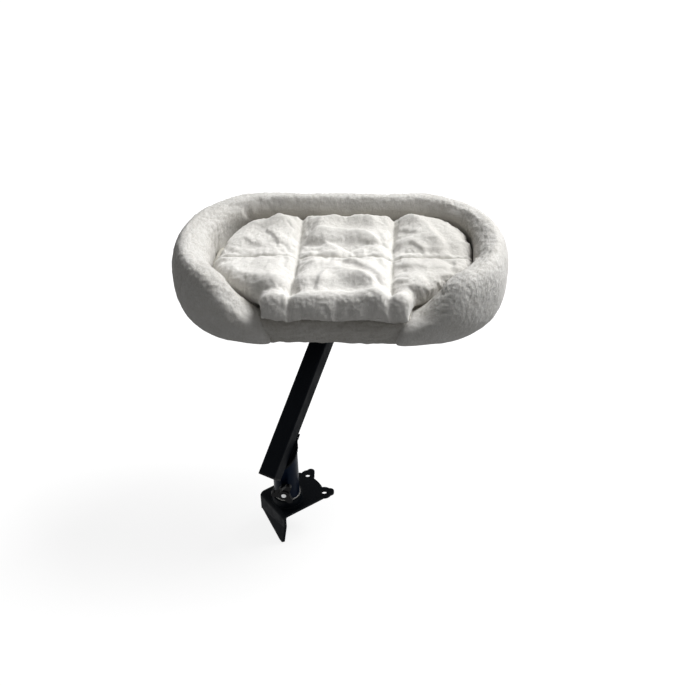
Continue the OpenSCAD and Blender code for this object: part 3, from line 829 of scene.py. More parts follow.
@dataclass(frozen=True)
class Stuffing:
    """How a cover is blown up by the padding in it."""

    pressure: float
    cap: float
    slack: float
    stiffness: float
    bending: float = 0.3
    mass: float = 0.3
    quality: int = 5
    frames: int = 20

    def swell(self, obj: Piece, held: Callable[[Vector], float]) -> None:
        """Runs the cloth simulation and applies it, with each point's move capped.

        Args:
            obj: The cover, with an even mesh.
            held: How firmly a point is held, from 0 to 1.
        """
        start = [vertex.co.copy() for vertex in obj.data.vertices]
        group = obj.vertex_groups.new(name="held")
        for index, place in enumerate(start):
            weight = held(place)
            if weight > 0:
                group.add([index], weight, "REPLACE")
        self._cover(obj, group.name)
        scene = bpy.context.scene
        for frame in range(1, self.frames + 1):
            scene.frame_set(frame)
        moved = evaluated(obj)
        obj.modifiers.clear()
        for vertex, place, after in zip(obj.data.vertices, start, moved.vertices):
            step = after.co - place
            if step.length > self.cap:
                step *= self.cap / step.length
            vertex.co = place + step
        bpy.data.meshes.remove(moved)
        obj.vertex_groups.clear()
        scene.frame_set(1)
        obj.data.update()

    def _cover(self, obj: Piece, group: str) -> None:
        """Puts the cloth on a cover, pinned by a vertex group."""
        cloth = obj.modifiers.new("Cover", "CLOTH")
        settings = cloth.settings
        settings.quality = self.quality
        settings.mass = self.mass
        settings.tension_stiffness = self.stiffness
        settings.compression_stiffness = self.stiffness
        settings.shear_stiffness = self.stiffness / 3
        settings.bending_stiffness = self.bending
        settings.use_pressure = True
        settings.uniform_pressure_force = self.pressure
        settings.shrink_min = -self.slack
        settings.vertex_group_mass = group
        settings.effector_weights.gravity = 0
        cloth.collision_settings.use_collision = False
        cloth.collision_settings.use_self_collision = False
        cloth.point_cache.frame_start = 1
        cloth.point_cache.frame_end = self.frames


@dataclass(frozen=True)
class Nap:
    """The relief of plush: clumps, in groups."""

    depth: float
    clump: float = 0.0052
    group: float = 3.5
    clump_share: float = 0.75
    group_share: float = 0.45
    apart: tuple[float, float, float] = (7.1, 3.3, 1.9)

    def height(self, place: Vector) -> float:
        """Gives the relief at a place, up to about half the depth either way."""
        groups = noise.noise(place / (self.clump * self.group))
        clumps = noise.noise(place / self.clump + Vector(self.apart))
        return self.depth * (self.group_share * groups + self.clump_share * clumps)


# ------------------------------------------------------------- the bed's parts


@dataclass(frozen=True)
class BedPlan:
    """The bed's rounded plan, its centre in the row's frame and the height of its bottom."""

    centre: Vector
    width: float
    depth: float
    bottom: float
    corner: float = 0.146

    def local(self, place: Vector) -> Vector:
        """Gives a place in plan from the bed's centre."""
        return Vector((place.x - self.centre.x, place.y - self.centre.y))

    def inset(self, place: Vector) -> float:
        """Gives how far inside the outline a place lies, negative outside."""
        x, y = abs(place.x - self.centre.x), abs(place.y - self.centre.y)
        across = x - self.width / 2 + self.corner
        along = y - self.depth / 2 + self.corner
        outside = math.hypot(max(across, 0.0), max(along, 0.0))
        return self.corner - outside - min(max(across, along), 0.0)


@dataclass
class PaddedPiece:
    """A padded piece: its CAD solid with an even skin, blown up, made finer and napped."""

    plan: BedPlan
    name: str
    slot: Slot
    stuffing: Stuffing
    voxel: float = 0.004
    evenings: int = 3

    def build(self, node: Piece, palette: Palette) -> Piece:
        """Makes the piece.

        Args:
            node: Its CAD solid.
            palette: The finishes.

        Returns:
            The piece.
        """
        piece = even_copy(node, self.name, self.voxel, self.evenings)
        self.ready(piece)
        self.stuffing.swell(piece, self.held)
        self.press(piece)
        refine(piece)
        self.sew(piece)
        move_points(piece, self.nap_shift)
        mark_points(piece, "nap", self.nap)
        # Painted shade, which the finish darkens the pile with.
        mark_points(piece, "painted_shade", self.painted_shade)
        palette.dress(piece, self.slot)
        return piece

    def height(self, place: Vector) -> float:
        """Gives a place's height over the bed's bottom."""
        return place.z - self.plan.bottom

    def ready(self, piece: Piece) -> None:
        """Makes the cover's moves before it is blown up."""

    def press(self, piece: Piece) -> None:
        """Makes its moves before it is made finer."""

    def sew(self, piece: Piece) -> None:
        """Makes its seams and folds."""

    def held(self, place: Vector) -> float:
        """Gives how firmly a point is held while the cover is blown up."""
        return 0.0

    def nap_shift(self, place: Vector, normal: Vector) -> Vector:
        """Gives the pile's own relief at a point."""
        return Vector()

    def nap(self, place: Vector) -> float:
        """Gives how fluffy the pile is."""
        return 1.0

    def painted_shade(self, place: Vector) -> float:
        """Gives how much painted shade a point gets."""
        return 0.0


@dataclass
class PlushWall(PaddedPiece):
    """The padded wall round the bed, open at the front."""

    name: str = "plush_wall"
    slot: Slot = Slot.WALL_PLUSH
    stuffing: Stuffing = Stuffing(pressure=3.0, cap=0.004, slack=0.008, stiffness=18.0)
    voxel: float = 0.005
    foot: Rise = Rise(0.022, 0.004)
    # The two front ends, rounded and set on the sill.
    end_rounds: int = 12
    end_depth: float = -0.075
    end_half: float = 0.165
    end_front: Rise = Rise(-0.085, -0.115)
    end_span: Rise = Rise(0.195, 0.13)
    end_foot: Rise = Rise(0.07, 0.03)
    reach_left: float = -0.011
    reach_right: float = 0.007
    splay: float = 0.006
    # The cover's draw, and the right side's thinner stuffing.
    start_in: float = 0.0008
    thinner: float = 0.006
    thin_face: Rise = Rise(0.026, 0.05)
    thin_side: Rise = Rise(0.165, 0.2)
    thin_past: Rise = Rise(-0.07, -0.03)
    # The nap: flat outside, deep on the crest and smooth at the back's inner face.
    crest: Rise = Rise(0.014, 0.030)
    upper: Rise = Rise(0.045, 0.1)
    back: Rise = Rise(0.04, 0.1)
    under_crest: Rise = Rise(0.108, 0.095)
    nap_outside: float = 0.35
    nap_upper: float = 0.3
    nap_crest: float = 0.75
    nap_least: float = 0.25
    smoothed: float = 0.7
    # Painted shade at the foot inside, higher at the back and weaker at the lit left side.
    shade: float = 0.85
    shade_face: Rise = Rise(0.030, 0.050)
    shade_top: Rise = Rise(0.1, 0.072)
    shade_lift: float = 0.012
    shade_back: Rise = Rise(0.02, 0.08)
    lit: float = 0.7
    lit_side: Rise = Rise(-0.12, -0.2)
    # The relief.
    clear_foot: Rise = Rise(0.0, 0.012)
    pile: Nap = Nap(0.0018)
    dent: float = 0.0016
    dent_size: float = 0.06

    def ready(self, piece: Piece) -> None:
        """Rounds the two front ends, which the cover can't fill, and settles the cover."""
        relax(piece, self.end_rounds, self._at_end)
        move_points(piece, self._settle)

    def _at_end(self, place: Vector) -> bool:
        """Says whether a place is in the wall's front ends."""
        spot = self.plan.local(place)
        return spot.y < self.end_depth and abs(spot.x) < self.end_half

    def _settle(self, place: Vector, normal: Vector) -> Vector:
        """Draws the cover in, thins the right side and sets the front ends on the sill."""
        spot = self.plan.local(place)
        inner = self.thin_face(self.plan.inset(place))
        thinner = self.thinner * inner * self.thin_side(spot.x) * self.thin_past(spot.y)
        ahead = self.end_front(spot.y) * self.end_span(abs(spot.x))
        reach = self.reach_right if spot.x > 0 else self.reach_left
        reach += self.splay * self.end_foot(self.height(place))
        return normal * -self.start_in + Vector((thinner - reach * ahead, 0, 0))

    def held(self, place: Vector) -> float:
        """Holds the wall's foot."""
        return self.foot(self.height(place))

    def nap(self, place: Vector) -> float:
        """Gives how fluffy the pile is."""
        height = self.height(place)
        crest = self.crest(self.plan.inset(place))
        upper = self.upper(height)
        smooth = crest * self.back(self.plan.local(place).y) * self.under_crest(height)
        full = self.nap_outside + (self.nap_crest * crest + self.nap_upper) * upper
        return max(self.nap_least, min(1.0, full) * (1.0 - self.smoothed * smooth))

    def painted_shade(self, place: Vector) -> float:
        """Gives the painted shade at the wall's foot inside."""
        spot = self.plan.local(place)
        inside = self.shade_face(self.plan.inset(place))
        lit = 1.0 - self.lit * self.lit_side(spot.x)
        lift = self.shade_lift * self.shade_back(spot.y)
        low = self.shade_top(self.height(place) - lift)
        return self.shade * inside * lit * low

    def nap_shift(self, place: Vector, normal: Vector) -> Vector:
        """Gives the pile's relief and the cover's dents at a point."""
        pile = self.nap(place) * self.pile.height(place)
        dent = self.dent * noise.noise(place / self.dent_size)
        return normal * self.clear_foot(self.height(place)) * (pile + dent)


@dataclass(frozen=True)
class Fold:
    """One fold of the quilted cover: a ridge along a line, steep on one side."""

    line: tuple[Point, ...]
    height: float
    width: float
    steep: Side = Side.RIGHT
    sharp: float = 0.28
    rising: Rise = Rise(0.0, 0.22)
    falling: Rise = Rise(1.0, 0.78)

    def rise(self, x: float, y: float) -> float:
        """Gives the fold's height at a place in the bed's plan, in millimetres."""
        away, along, side = nearest(self.line, x, y)
        width = self.width * (self.sharp if side is self.steep else 1.0)
        return self.height * self.rising(along) * self.falling(along) * bell(away, width)


@dataclass
class QuiltedCushion(PaddedPiece):
    """The loose cushion, sewn into six panels, with its roll over the sill."""

    name: str = "quilted_cushion"
    slot: Slot = Slot.CUSHION_PLUSH
    stuffing: Stuffing = Stuffing(pressure=4.0, cap=0.0065, slack=0.045, stiffness=9.0)
    floor: float = 0.0
    start_in: float = 0.002
    # The cover's front corners, filled out over the wall's ends.
    corner_fill: float = 0.011
    corner_place: Point = (0.120, -0.093)
    corner_width: float = 0.03
    corner_way: float = 0.7
    # The underside and the seams that the cover is held by.
    under: Rise = Rise(0.010, 0.004)
    held_seam: float = 4.0
    # The rim, pushed out to the wall at the right and back and drawn off it at the left.
    push_right: float = 0.010
    push_back: float = 0.006
    draw_left: float = 0.013
    right: Rise = Rise(0.12, 0.2)
    right_past: Rise = Rise(-0.085, -0.04)
    back: Rise = Rise(0.04, 0.1)
    left: Rise = Rise(-0.08, -0.19)
    left_past: Rise = Rise(-0.03, 0.06)
    rim_rise: float = 0.0085
    rim: Rise = Rise(0.1, 0.062)
    rim_past: Rise = Rise(-0.115, -0.085)
    rim_left: float = 0.6
    back_rim: Rise = Rise(0.076, 0.098)
    back_share: float = 0.5
    rim_foot: Rise = Rise(0.004, 0.018)
    peak_rise: float = 0.005
    peak_place: Point = (0.110, -0.098)
    peak_size: Point = (0.028, 0.024)
    # The roll along the front edge, and the lip that hangs from it.
    roll_rise: float = 0.0125
    roll_place: float = -0.1295
    roll_width: float = 0.0145
    roll_foot: Rise = Rise(0.004, 0.016)
    roll_wave: float = 0.3
    end_fill: float = 0.003
    end_width: float = 0.014
    lip: Rise = Rise(-0.124, -0.146)
    lip_drop: float = 0.009
    lip_low: Rise = Rise(0.022, 0.008)
    lip_level: float = 0.55
    lip_wave: float = 0.9
    lip_forward: float = 0.002
    lip_lean: float = 0.5
    wave_length: float = 0.05
    wave_row: Point = (2.0, 0.5)
    # The stitching, in millimetres but for its depths.
    top: Rise = Rise(0.05, 0.55)
    thread_depth: float = 0.0042
    thread_width: float = 3.0
    pucker: float = 0.0011
    pucker_width: float = 16.0
    pucker_size: float = 8.0
    pucker_row: float = 4.0
    soft: Rise = Rise(1.0, 9.0)
    fold_gain: float = 1.15
    crumple: float = 0.0018
    crumple_size: tuple[float, float, float] = (30.0, 70.0, 26.0)
    crumple_row: float = 1.0
    # Painted shade in the seams, round the foot, and at the right and back where the walls shade
    # the rim.
    seam_shade: float = 0.65
    seam_width: float = 2.6
    low_shade: float = 0.55
    low: Rise = Rise(0.012, 0.002)
    rim_shade: float = 0.6
    shade_right: Rise = Rise(0.07, 0.17)
    shade_back: Rise = Rise(0.02, 0.08)
    # The pile.
    pile: Nap = Nap(0.0011)
    clear_floor: Rise = Rise(0.002, 0.008)
    seams: tuple[tuple[Point, ...], ...] = (
        ((-66, 118), (-66, 30), (-66, -60), (-69, -116)),
        ((84, 118), (84, 30), (84, -60), (86, -116)),
        (
            (-215, -8), (-68, -10), (-26, -12), (10, -11),
            (52, -10), (85, -13), (172, -8), (217, -6),
        ),
    )
    folds: tuple[Fold, ...] = (
        Fold(((-118, 96), (-84, 70), (-58, 36)), 5.5, 22.0, Side.LEFT, 0.4),
        Fold(((-124, 58), (-104, 36), (-92, 8)), 3.0, 13.0),
        Fold(((-160, 40), (-140, 22), (-118, 14)), 2.2, 10.0),
        Fold(((-52, 46), (-32, 76), (-2, 92), (42, 84), (68, 54)), 4.5, 19.0, Side.LEFT, 0.4),
        Fold(((-58, 28), (-36, 50), (19, 44), (50, 31), (80, 0)), 4.6, 15.0, Side.LEFT, 0.4),
        Fold(((-30, 22), (0, 8), (24, -4)), 2.6, 10.0, Side.LEFT),
        Fold(((100, 98), (135, 64), (160, 20), (172, -6)), 5.0, 20.0, Side.LEFT, 0.35),
        Fold(((86, 12), (111, 26), (140, 2)), 3.6, 12.0),
        Fold(((88, 62), (108, 52), (128, 40)), 2.6, 10.0),
        Fold(((182, -14), (184, -34), (178, -52)), 3.0, 12.0),
        Fold(((-10, -24), (24, -34), (54, -62), (80, -108)), 5.5, 12.0, Side.RIGHT, 0.5),
        Fold(((-22, -58), (4, -62), (36, -84), (62, -106), (86, -118)), 5.5, 19.0, Side.LEFT, 0.35),
        Fold(((-16, -58), (-24, -92), (-27, -120)), 3.4, 11.0, Side.RIGHT, 0.4),
        Fold(((-60, -50), (-38, -32), (-14, -28)), 3.0, 11.0, Side.LEFT),
        Fold(((90, -34), (140, -48), (182, -40)), 2.6, 18.0),
        Fold(((-112, -44), (-104, -70), (-98, -96)), 1.4, 16.0),
        Fold(((56, -128), (40, -140), (20, -146)), 3.0, 9.0),
    )

    def build(self, node: Piece, palette: Palette) -> Piece:
        """Makes the cushion, whose heights are taken from its own underside.

        Args:
            node: The CAD cushion.
            palette: The finishes.

        Returns:
            The cushion.
        """
        self.floor = min(vertex.co.z for vertex in node.data.vertices)
        return super().build(node, palette)

    def ready(self, piece: Piece) -> None:
        """Draws the cover in for the stuffing and fills its front corners."""
        move_points(piece, self._fill_corners)

    def press(self, piece: Piece) -> None:
        """Presses the rim against the wall."""
        move_points(piece, self._spread)

    def sew(self, piece: Piece) -> None:
        """Sews the panels, lays the folds and rolls the front edge."""
        move_points(piece, self._sewn)
        move_points(piece, self._rolled)

    def height(self, place: Vector) -> float:
        """Gives a place's height over the cushion's underside."""
        return place.z - self.floor

    def _fill_corners(self, place: Vector, normal: Vector) -> Vector:
        """Draws the cover in, and out over the wall's low front ends."""
        spot = self.plan.local(place)
        x, y = self.corner_place
        away = math.hypot(abs(spot.x) - x, spot.y - y)
        push = self.corner_way * self.corner_fill * bell(away, self.corner_width)
        return normal * -self.start_in + Vector((push if spot.x > 0 else -push, -push, 0))

    def _spread(self, place: Vector, normal: Vector) -> Vector:
        """Pushes the rim against the wall at the right and the back, and off it at the left."""
        spot = self.plan.local(place)
        right = self.right(spot.x) * self.right_past(spot.y)
        left = self.left(spot.x) * self.left_past(spot.y)
        edge = self.rim(self.plan.inset(place)) * (1.0 - self.rim_left * left)
        rim = max(edge * self.rim_past(spot.y), self.back_share * self.back_rim(spot.y))
        (x, y), (wide, deep) = self.peak_place, self.peak_size
        peak = bell(abs(spot.x) - x, wide) * bell(spot.y - y, deep)
        lifted = (self.rim_rise * rim + self.peak_rise * peak) * self.rim_foot(self.height(place))
        across = self.push_right * right + self.draw_left * left
        return Vector((across, self.push_back * self.back(spot.y), lifted))

    def _rolled(self, place: Vector, normal: Vector) -> Vector:
        """Rolls the front edge into a thick lip and lets it hang over the sill in slow waves."""
        spot = self.plan.local(place)
        height = self.height(place)
        wave = noise.noise(Vector((spot.x / self.wave_length, *self.wave_row)))
        ridge = bell(spot.y - self.roll_place, self.roll_width) * self.roll_foot(height)
        ends = sum(bell(spot.x - seam[-1][0] / TO_MM, self.end_width) for seam in self.seams[:2])
        lifted = ridge * (self.roll_rise * (1.0 + self.roll_wave * wave) + self.end_fill * ends)
        lip = self.lip(spot.y)
        hung = self.lip_drop * lip * self.lip_low(height) * (self.lip_level + self.lip_wave * wave)
        return Vector((0, -self.lip_forward * lip * (self.lip_lean + wave), lifted - hung))

    def _thread(self, place: Vector) -> float:
        """Gives the distance to the nearest seam in plan, in millimetres."""
        spot = self.plan.local(place)
        return min(nearest(seam, spot.x * TO_MM, spot.y * TO_MM)[0] for seam in self.seams)

    def held(self, place: Vector) -> float:
        """Holds the underside flat and the seams down."""
        return 1.0 if self._thread(place) < self.held_seam else self.under(self.height(place))

    def _sewn(self, place: Vector, normal: Vector) -> Vector:
        """Gives the move that the stitching and the folds make of a point."""
        top = self.top(normal.z)
        if top <= 0:
            return Vector()
        spot = self.plan.local(place)
        x, y = spot.x * TO_MM, spot.y * TO_MM
        away = self._thread(place)
        groove = self.thread_depth * bell(away, self.thread_width)
        pucker = self.pucker * bell(away, self.pucker_width)
        size = self.pucker_size
        pucker *= noise.noise(Vector((x / size, y / size, self.pucker_row)))
        folded = self.fold_gain / TO_MM * sum(fold.rise(x, y) for fold in self.folds)
        wide, skew, deep = self.crumple_size
        crumple = noise.noise(Vector((x / wide + y / skew, y / deep, self.crumple_row)))
        loose = self.soft(away) * (folded + self.crumple * crumple)
        return Vector((0, 0, top * (pucker - groove + loose)))

    def nap_shift(self, place: Vector, normal: Vector) -> Vector:
        """Gives the pile's own relief at a point."""
        return normal * self.clear_floor(self.height(place)) * self.pile.height(place)

    def painted_shade(self, place: Vector) -> float:
        """Gives the painted shade in the seams, round the foot and at the right and back, next to
        the walls.
        """
        spot = self.plan.local(place)
        # Painted shade cast by the right and back walls.
        rubbed = max(self.shade_right(spot.x), self.shade_back(spot.y))
        seam = bell(self._thread(place), self.seam_width)
        low = self.low(self.height(place))
        return max(self.seam_shade * seam, self.low_shade * low, self.rim_shade * rubbed)


@dataclass
class PlushSill(PaddedPiece):
    """The low padded band across the entry."""

    name: str = "plush_sill"
    slot: Slot = Slot.WALL_PLUSH
    stuffing: Stuffing = Stuffing(pressure=3.0, cap=0.004, slack=0.012, stiffness=16.0)
    evenings: int = 2
    start_out: float = 0.0008
    longer: float = 0.03
    foot: Rise = Rise(0.01, 0.003)
    pile: Nap = Nap(0.0026)
    drawn: float = 2.6
    shade: float = 0.3
    shade_top: Rise = Rise(0.026, 0.045)

    def ready(self, piece: Piece) -> None:
        """Presses the sill's ends up against the wall's ends."""
        move_points(piece, self._lengthened)

    def _lengthened(self, place: Vector, normal: Vector) -> Vector:
        """Gives the move that makes the sill a little longer and fuller."""
        return normal * self.start_out + Vector((self.longer * self.plan.local(place).x, 0, 0))

    def held(self, place: Vector) -> float:
        """Holds the sill's foot."""
        return self.foot(self.height(place))

    def painted_shade(self, place: Vector) -> float:
        """Gives the painted shade under the cushion's roll."""
        return self.shade * (1.0 + self.shade_top(self.height(place)))

    def nap_shift(self, place: Vector, normal: Vector) -> Vector:
        """Gives the brushed pile's relief, drawn out along the sill."""
        drawn = Vector((place.x / self.drawn, place.y, place.z))
        return normal * self.pile.height(drawn)


@dataclass(frozen=True)
class FoamDeck:
    """The foam slab that the cushion lies on."""

    voxel: float = 0.005
    evenings: int = 3
    uneven: float = 0.0007
    lumps: float = 0.011

    def build(self, node: Piece, palette: Palette) -> Piece:
        """Makes the slab with its edges softened by the cut.

        Args:
            node: The CAD slab.
            palette: The finishes.

        Returns:
            The slab.
        """
        deck = even_copy(node, "foam_slab", self.voxel, self.evenings)
        move_points(deck, self._cut)
        palette.dress(deck, Slot.FOAM)
        return deck

    def _cut(self, place: Vector, normal: Vector) -> Vector:
        """Gives the unevenness of the cut."""
        return normal * self.uneven * noise.noise(place / self.lumps)


@dataclass(frozen=True)
class UnderCloth:
    """The cloth stretched under the board, slightly puckered at its edge."""

    plan: BedPlan
    width: float
    depth: float
    thick: float
    low: float
    board_in: float = 0.03
    cell: float = 0.005
    pucker: float = 0.0003
    pucker_edge: Rise = Rise(0.02, 0.0)
    pucker_size: float = 0.012

    def build(self, palette: Palette) -> Piece:
        """Makes the cloth from a grid trimmed to the board's outline.

        Args:
            palette: The finishes.

        Returns:
            The cloth.
        """
        shape = bmesh.new()
        columns, rows = round(self.width / self.cell), round(self.depth / self.cell)
        bmesh.ops.create_grid(shape, x_segments=columns, y_segments=rows, size=0.5)
        bmesh.ops.scale(shape, verts=shape.verts, vec=(self.width, self.depth, 1))
        middle = (self.plan.centre.x, self.plan.centre.y, self.low + self.thick / 2)
        bmesh.ops.translate(shape, verts=shape.verts, vec=middle)
        self._trim(shape)
        bmesh.ops.recalc_face_normals(shape, faces=shape.faces)
        cloth = from_bmesh("under_cloth", shape)
        wall = cloth.modifiers.new("Thickness", "SOLIDIFY")
        wall.thickness = self.thick - 2 * self.pucker
        wall.offset = 0
        apply_modifiers(cloth)
        palette.dress(cloth, Slot.CLOTH)
        return cloth

    def _trim(self, shape: bmesh.types.BMesh, step: float = 1e-4, spare: float = 0.7) -> None:
        """Trims the grid to the outline and puckers it there.

        Args:
            shape: The grid.
            step: The step that the outline's slope is taken over.
            spare: How much of a cell may lie outside and is drawn in.
        """
        corner = self.plan.corner - self.board_in
        outline = BedPlan(self.plan.centre, self.width, self.depth, self.plan.bottom, corner)
        outer = [v for v in shape.verts if outline.inset(v.co) < -spare * self.cell]
        bmesh.ops.delete(shape, geom=outer, context="VERTS")
        for vertex in shape.verts:
            inset = outline.inset(vertex.co)
            if inset < 0:
                slope = Vector((
                    outline.inset(vertex.co + Vector((step, 0, 0))) - inset,
                    outline.inset(vertex.co + Vector((0, step, 0))) - inset,
                    0,
                )).normalized()
                vertex.co -= slope * inset
            gather = self.pucker * self.pucker_edge(inset)
            vertex.co.z += gather * noise.noise(vertex.co / self.pucker_size)


@dataclass(frozen=True)
class HookTapes:
    """The two hook tapes that keep the cushion from sliding."""

    flat: float = 0.05
    softened: float = 0.0003

    def build(self, node: Piece, palette: Palette) -> Piece:
        """Makes the tapes with softened corners.

        Args:
            node: The CAD tapes.
            palette: The finishes.

        Returns:
            The tapes.
        """
        shape = merged(node.data)
        bmesh.ops.dissolve_limit(
            shape, angle_limit=self.flat, verts=shape.verts, edges=shape.edges
        )
        bmesh.ops.bevel(
            shape, geom=shape.edges[:], offset=self.softened,
            segments=2, profile=0.5, affect="EDGES", material=-1,
        )
        tapes = from_bmesh("hook_tapes", shape, smooth=False)
        palette.dress(tapes, Slot.PLASTIC)
        return tapes


# ---------------------------------------------------------------- the ironwork


@dataclass(frozen=True)
class WeldBead:
    """A run of weld along a path, rippled as it was laid."""

    radius: float = 0.0016
    ripple: float = 0.28
    ripple_turn: float = 1.9
    uneven: float = 0.12
    uneven_size: float = 0.004
    tip: float = 0.5
    taper: float = 0.25
    pitch: float = 0.0011

    def _points(self, corners: Sequence[Vector], closed: bool) -> list[Vector]:
        """Gives the points of a path, a pitch apart."""
        ends = list(corners) + ([corners[0]] if closed else [])
        points: list[Vector] = []
        for start, stop in zip(ends, ends[1:]):
            steps = max(1, round((stop - start).length / self.pitch))
            points += [start.lerp(stop, k / steps) for k in range(steps)]
        return points if closed else points + [ends[-1]]

    def _thickness(self, index: int, count: int, place: Vector, closed: bool) -> float:
        """Gives the bead's thickness at a point, thinner at the ends of an open run."""
        end = 1.0 if closed else min(1.0, self.tip + self.taper * min(index, count - 1 - index))
        ripple = self.ripple * math.sin(index * self.ripple_turn)
        return end * (1 + ripple + self.uneven * noise.noise(place / self.uneven_size))

    def lay(self, name: str, corners: Sequence[Vector], closed: bool) -> Piece:
        """Lays the bead.

        Args:
            name: The bead's name.
            corners: The points it runs through, straight between them.
            closed: Whether it runs back to its start.

        Returns:
            The bead as a mesh.
        """
        points = self._points(corners, closed)
        curve = bpy.data.curves.new(name + "_path", "CURVE")
        curve.dimensions = "3D"
        curve.bevel_depth = self.radius
        curve.bevel_resolution = 2
        curve.use_fill_caps = True
        spline = curve.splines.new("POLY")
        spline.points.add(len(points) - 1)
        spline.use_cyclic_u = closed
        for index, (knot, place) in enumerate(zip(spline.points, points)):
            knot.co = (*place, 1)
            knot.radius = self._thickness(index, len(points), place, closed)
        path = new_object(name + "_path", curve)
        mesh = evaluated(path)
        bpy.data.objects.remove(path)
        shape = merged(mesh, MERGE_GAP / 10)
        bpy.data.meshes.remove(mesh)
        return from_bmesh(name, shape)


@dataclass(frozen=True)
class Ironwork:
    """The welded steel under the bed: bracket, post, sleeve, arm and plates."""

    arm_tilt: float = math.radians(43.2)
    arm_turn: float = math.radians(62)
    arm_w: float = 0.030
    saddle_t: float = 0.003
    saddle_run: float = 0.038
    cross_z: float = 0.1355
    sleeve_r: float = 0.021
    ring_r: float = 0.025
    facets: int = 72
    bead: WeldBead = WeldBead()
    nodes: dict[Slot, tuple[str, ...]] = field(default_factory=lambda: {
        Slot.POWDER_COAT: (
            "desk_bracket", "foot_ring", "saddle_plate", "lock_nut",
            "support_arm", "head_plate", "bed_plate",
        ),
        Slot.GLOSS: ("swivel_sleeve",),
        Slot.STEEL: (
            "pivot_pin", "head_stud", "stud_washer", "stud_nut",
            "lock_screw", "board_screws", "tee_nuts",
        ),
        Slot.NYLON: ("thrust_washer", "lower_bush", "upper_bush", "swivel_washer"),
        Slot.PLASTIC: ("arm_end_plug", "lock_knob"),
        Slot.RUBBER: ("desk_pad", "edge_pad"),
        Slot.PLYWOOD: ("bed_board",),
    })

    def dress(self, frame_nodes: dict[str, Piece], palette: Palette) -> None:
        """Gives every hard CAD node its finish."""
        for slot, names in self.nodes.items():
            for name in names:
                palette.dress(frame_nodes[name], slot)

    @property
    def ahead(self) -> Vector:
        """The arm's direction in plan."""
        return Vector((math.cos(self.arm_turn), math.sin(self.arm_turn), 0))

    @property
    def along(self) -> Vector:
        """The arm's own direction."""
        return self.ahead * math.cos(self.arm_tilt) + Vector((0, 0, math.sin(self.arm_tilt)))

    @property
    def over(self) -> Vector:
        """The direction square to the arm's upper face."""
        return self.ahead * -math.sin(self.arm_tilt) + Vector((0, 0, math.cos(self.arm_tilt)))

    @property
    def crossing(self) -> Vector:
        """Where the arm's middle line crosses the sleeve's axis."""
        return Vector((0, 0, self.cross_z))

    def _circle(self, radius: float) -> list[Point]:
        """Gives the points of a circle round the sleeve's axis."""
        turns = [math.tau * k / self.facets for k in range(self.facets)]
        return [(radius * math.cos(a), radius * math.sin(a)) for a in turns]

    def ring_weld(self, top: float) -> Piece:
        """The bead round the foot ring on the bracket.

        Args:
            top: The height of the bracket's upper face.

        Returns:
            The bead.
        """
        points = [Vector((x, y, top)) for x, y in self._circle(self.ring_r)]
        return self.bead.lay("ring_weld", points, True)

    def sleeve_weld(self) -> Piece:
        """The bead where the slanted saddle meets the sleeve."""
        base = self.crossing - self.over * (self.arm_w / 2 + self.saddle_t)
        points = []
        for x, y in self._circle(self.sleeve_r):
            fall = self.over.x * (x - base.x) + self.over.y * (y - base.y)
            points.append(Vector((x, y, base.z - fall / self.over.z)))
        return self.bead.lay("sleeve_weld", points, True)

    def saddle_weld(self, side: Side) -> Piece:
        """The bead along one side of the arm on the saddle.

        Args:
            side: The arm's side.

        Returns:
            The bead.
        """
        aside = self.along.cross(self.over) * (1 if side is Side.LEFT else -1)
        middle = self.crossing + (aside - self.over) * self.arm_w / 2
        half = self.along * self.saddle_run / 2
        return self.bead.lay(f"saddle_weld_{side.value}", [middle - half, middle + half], False)

    def head_weld(self, under: float) -> Piece:
        """The bead round the arm's slanted end under the head plate.

        Args:
            under: The height of the head plate's lower face.

        Returns:
            The bead.
        """
        middle = self.crossing + self.along * ((under - self.cross_z) / self.along.z)
        long = self.ahead * (self.arm_w / 2 / math.sin(self.arm_tilt))
        wide = Vector((-self.ahead.y, self.ahead.x, 0)) * (self.arm_w / 2)
        ways = ((-1, -1), (1, -1), (1, 1), (-1, 1))
        return self.bead.lay("head_weld", [middle + long * i + wide * j for i, j in ways], True)


# ------------------------------------------------------------------ the studio


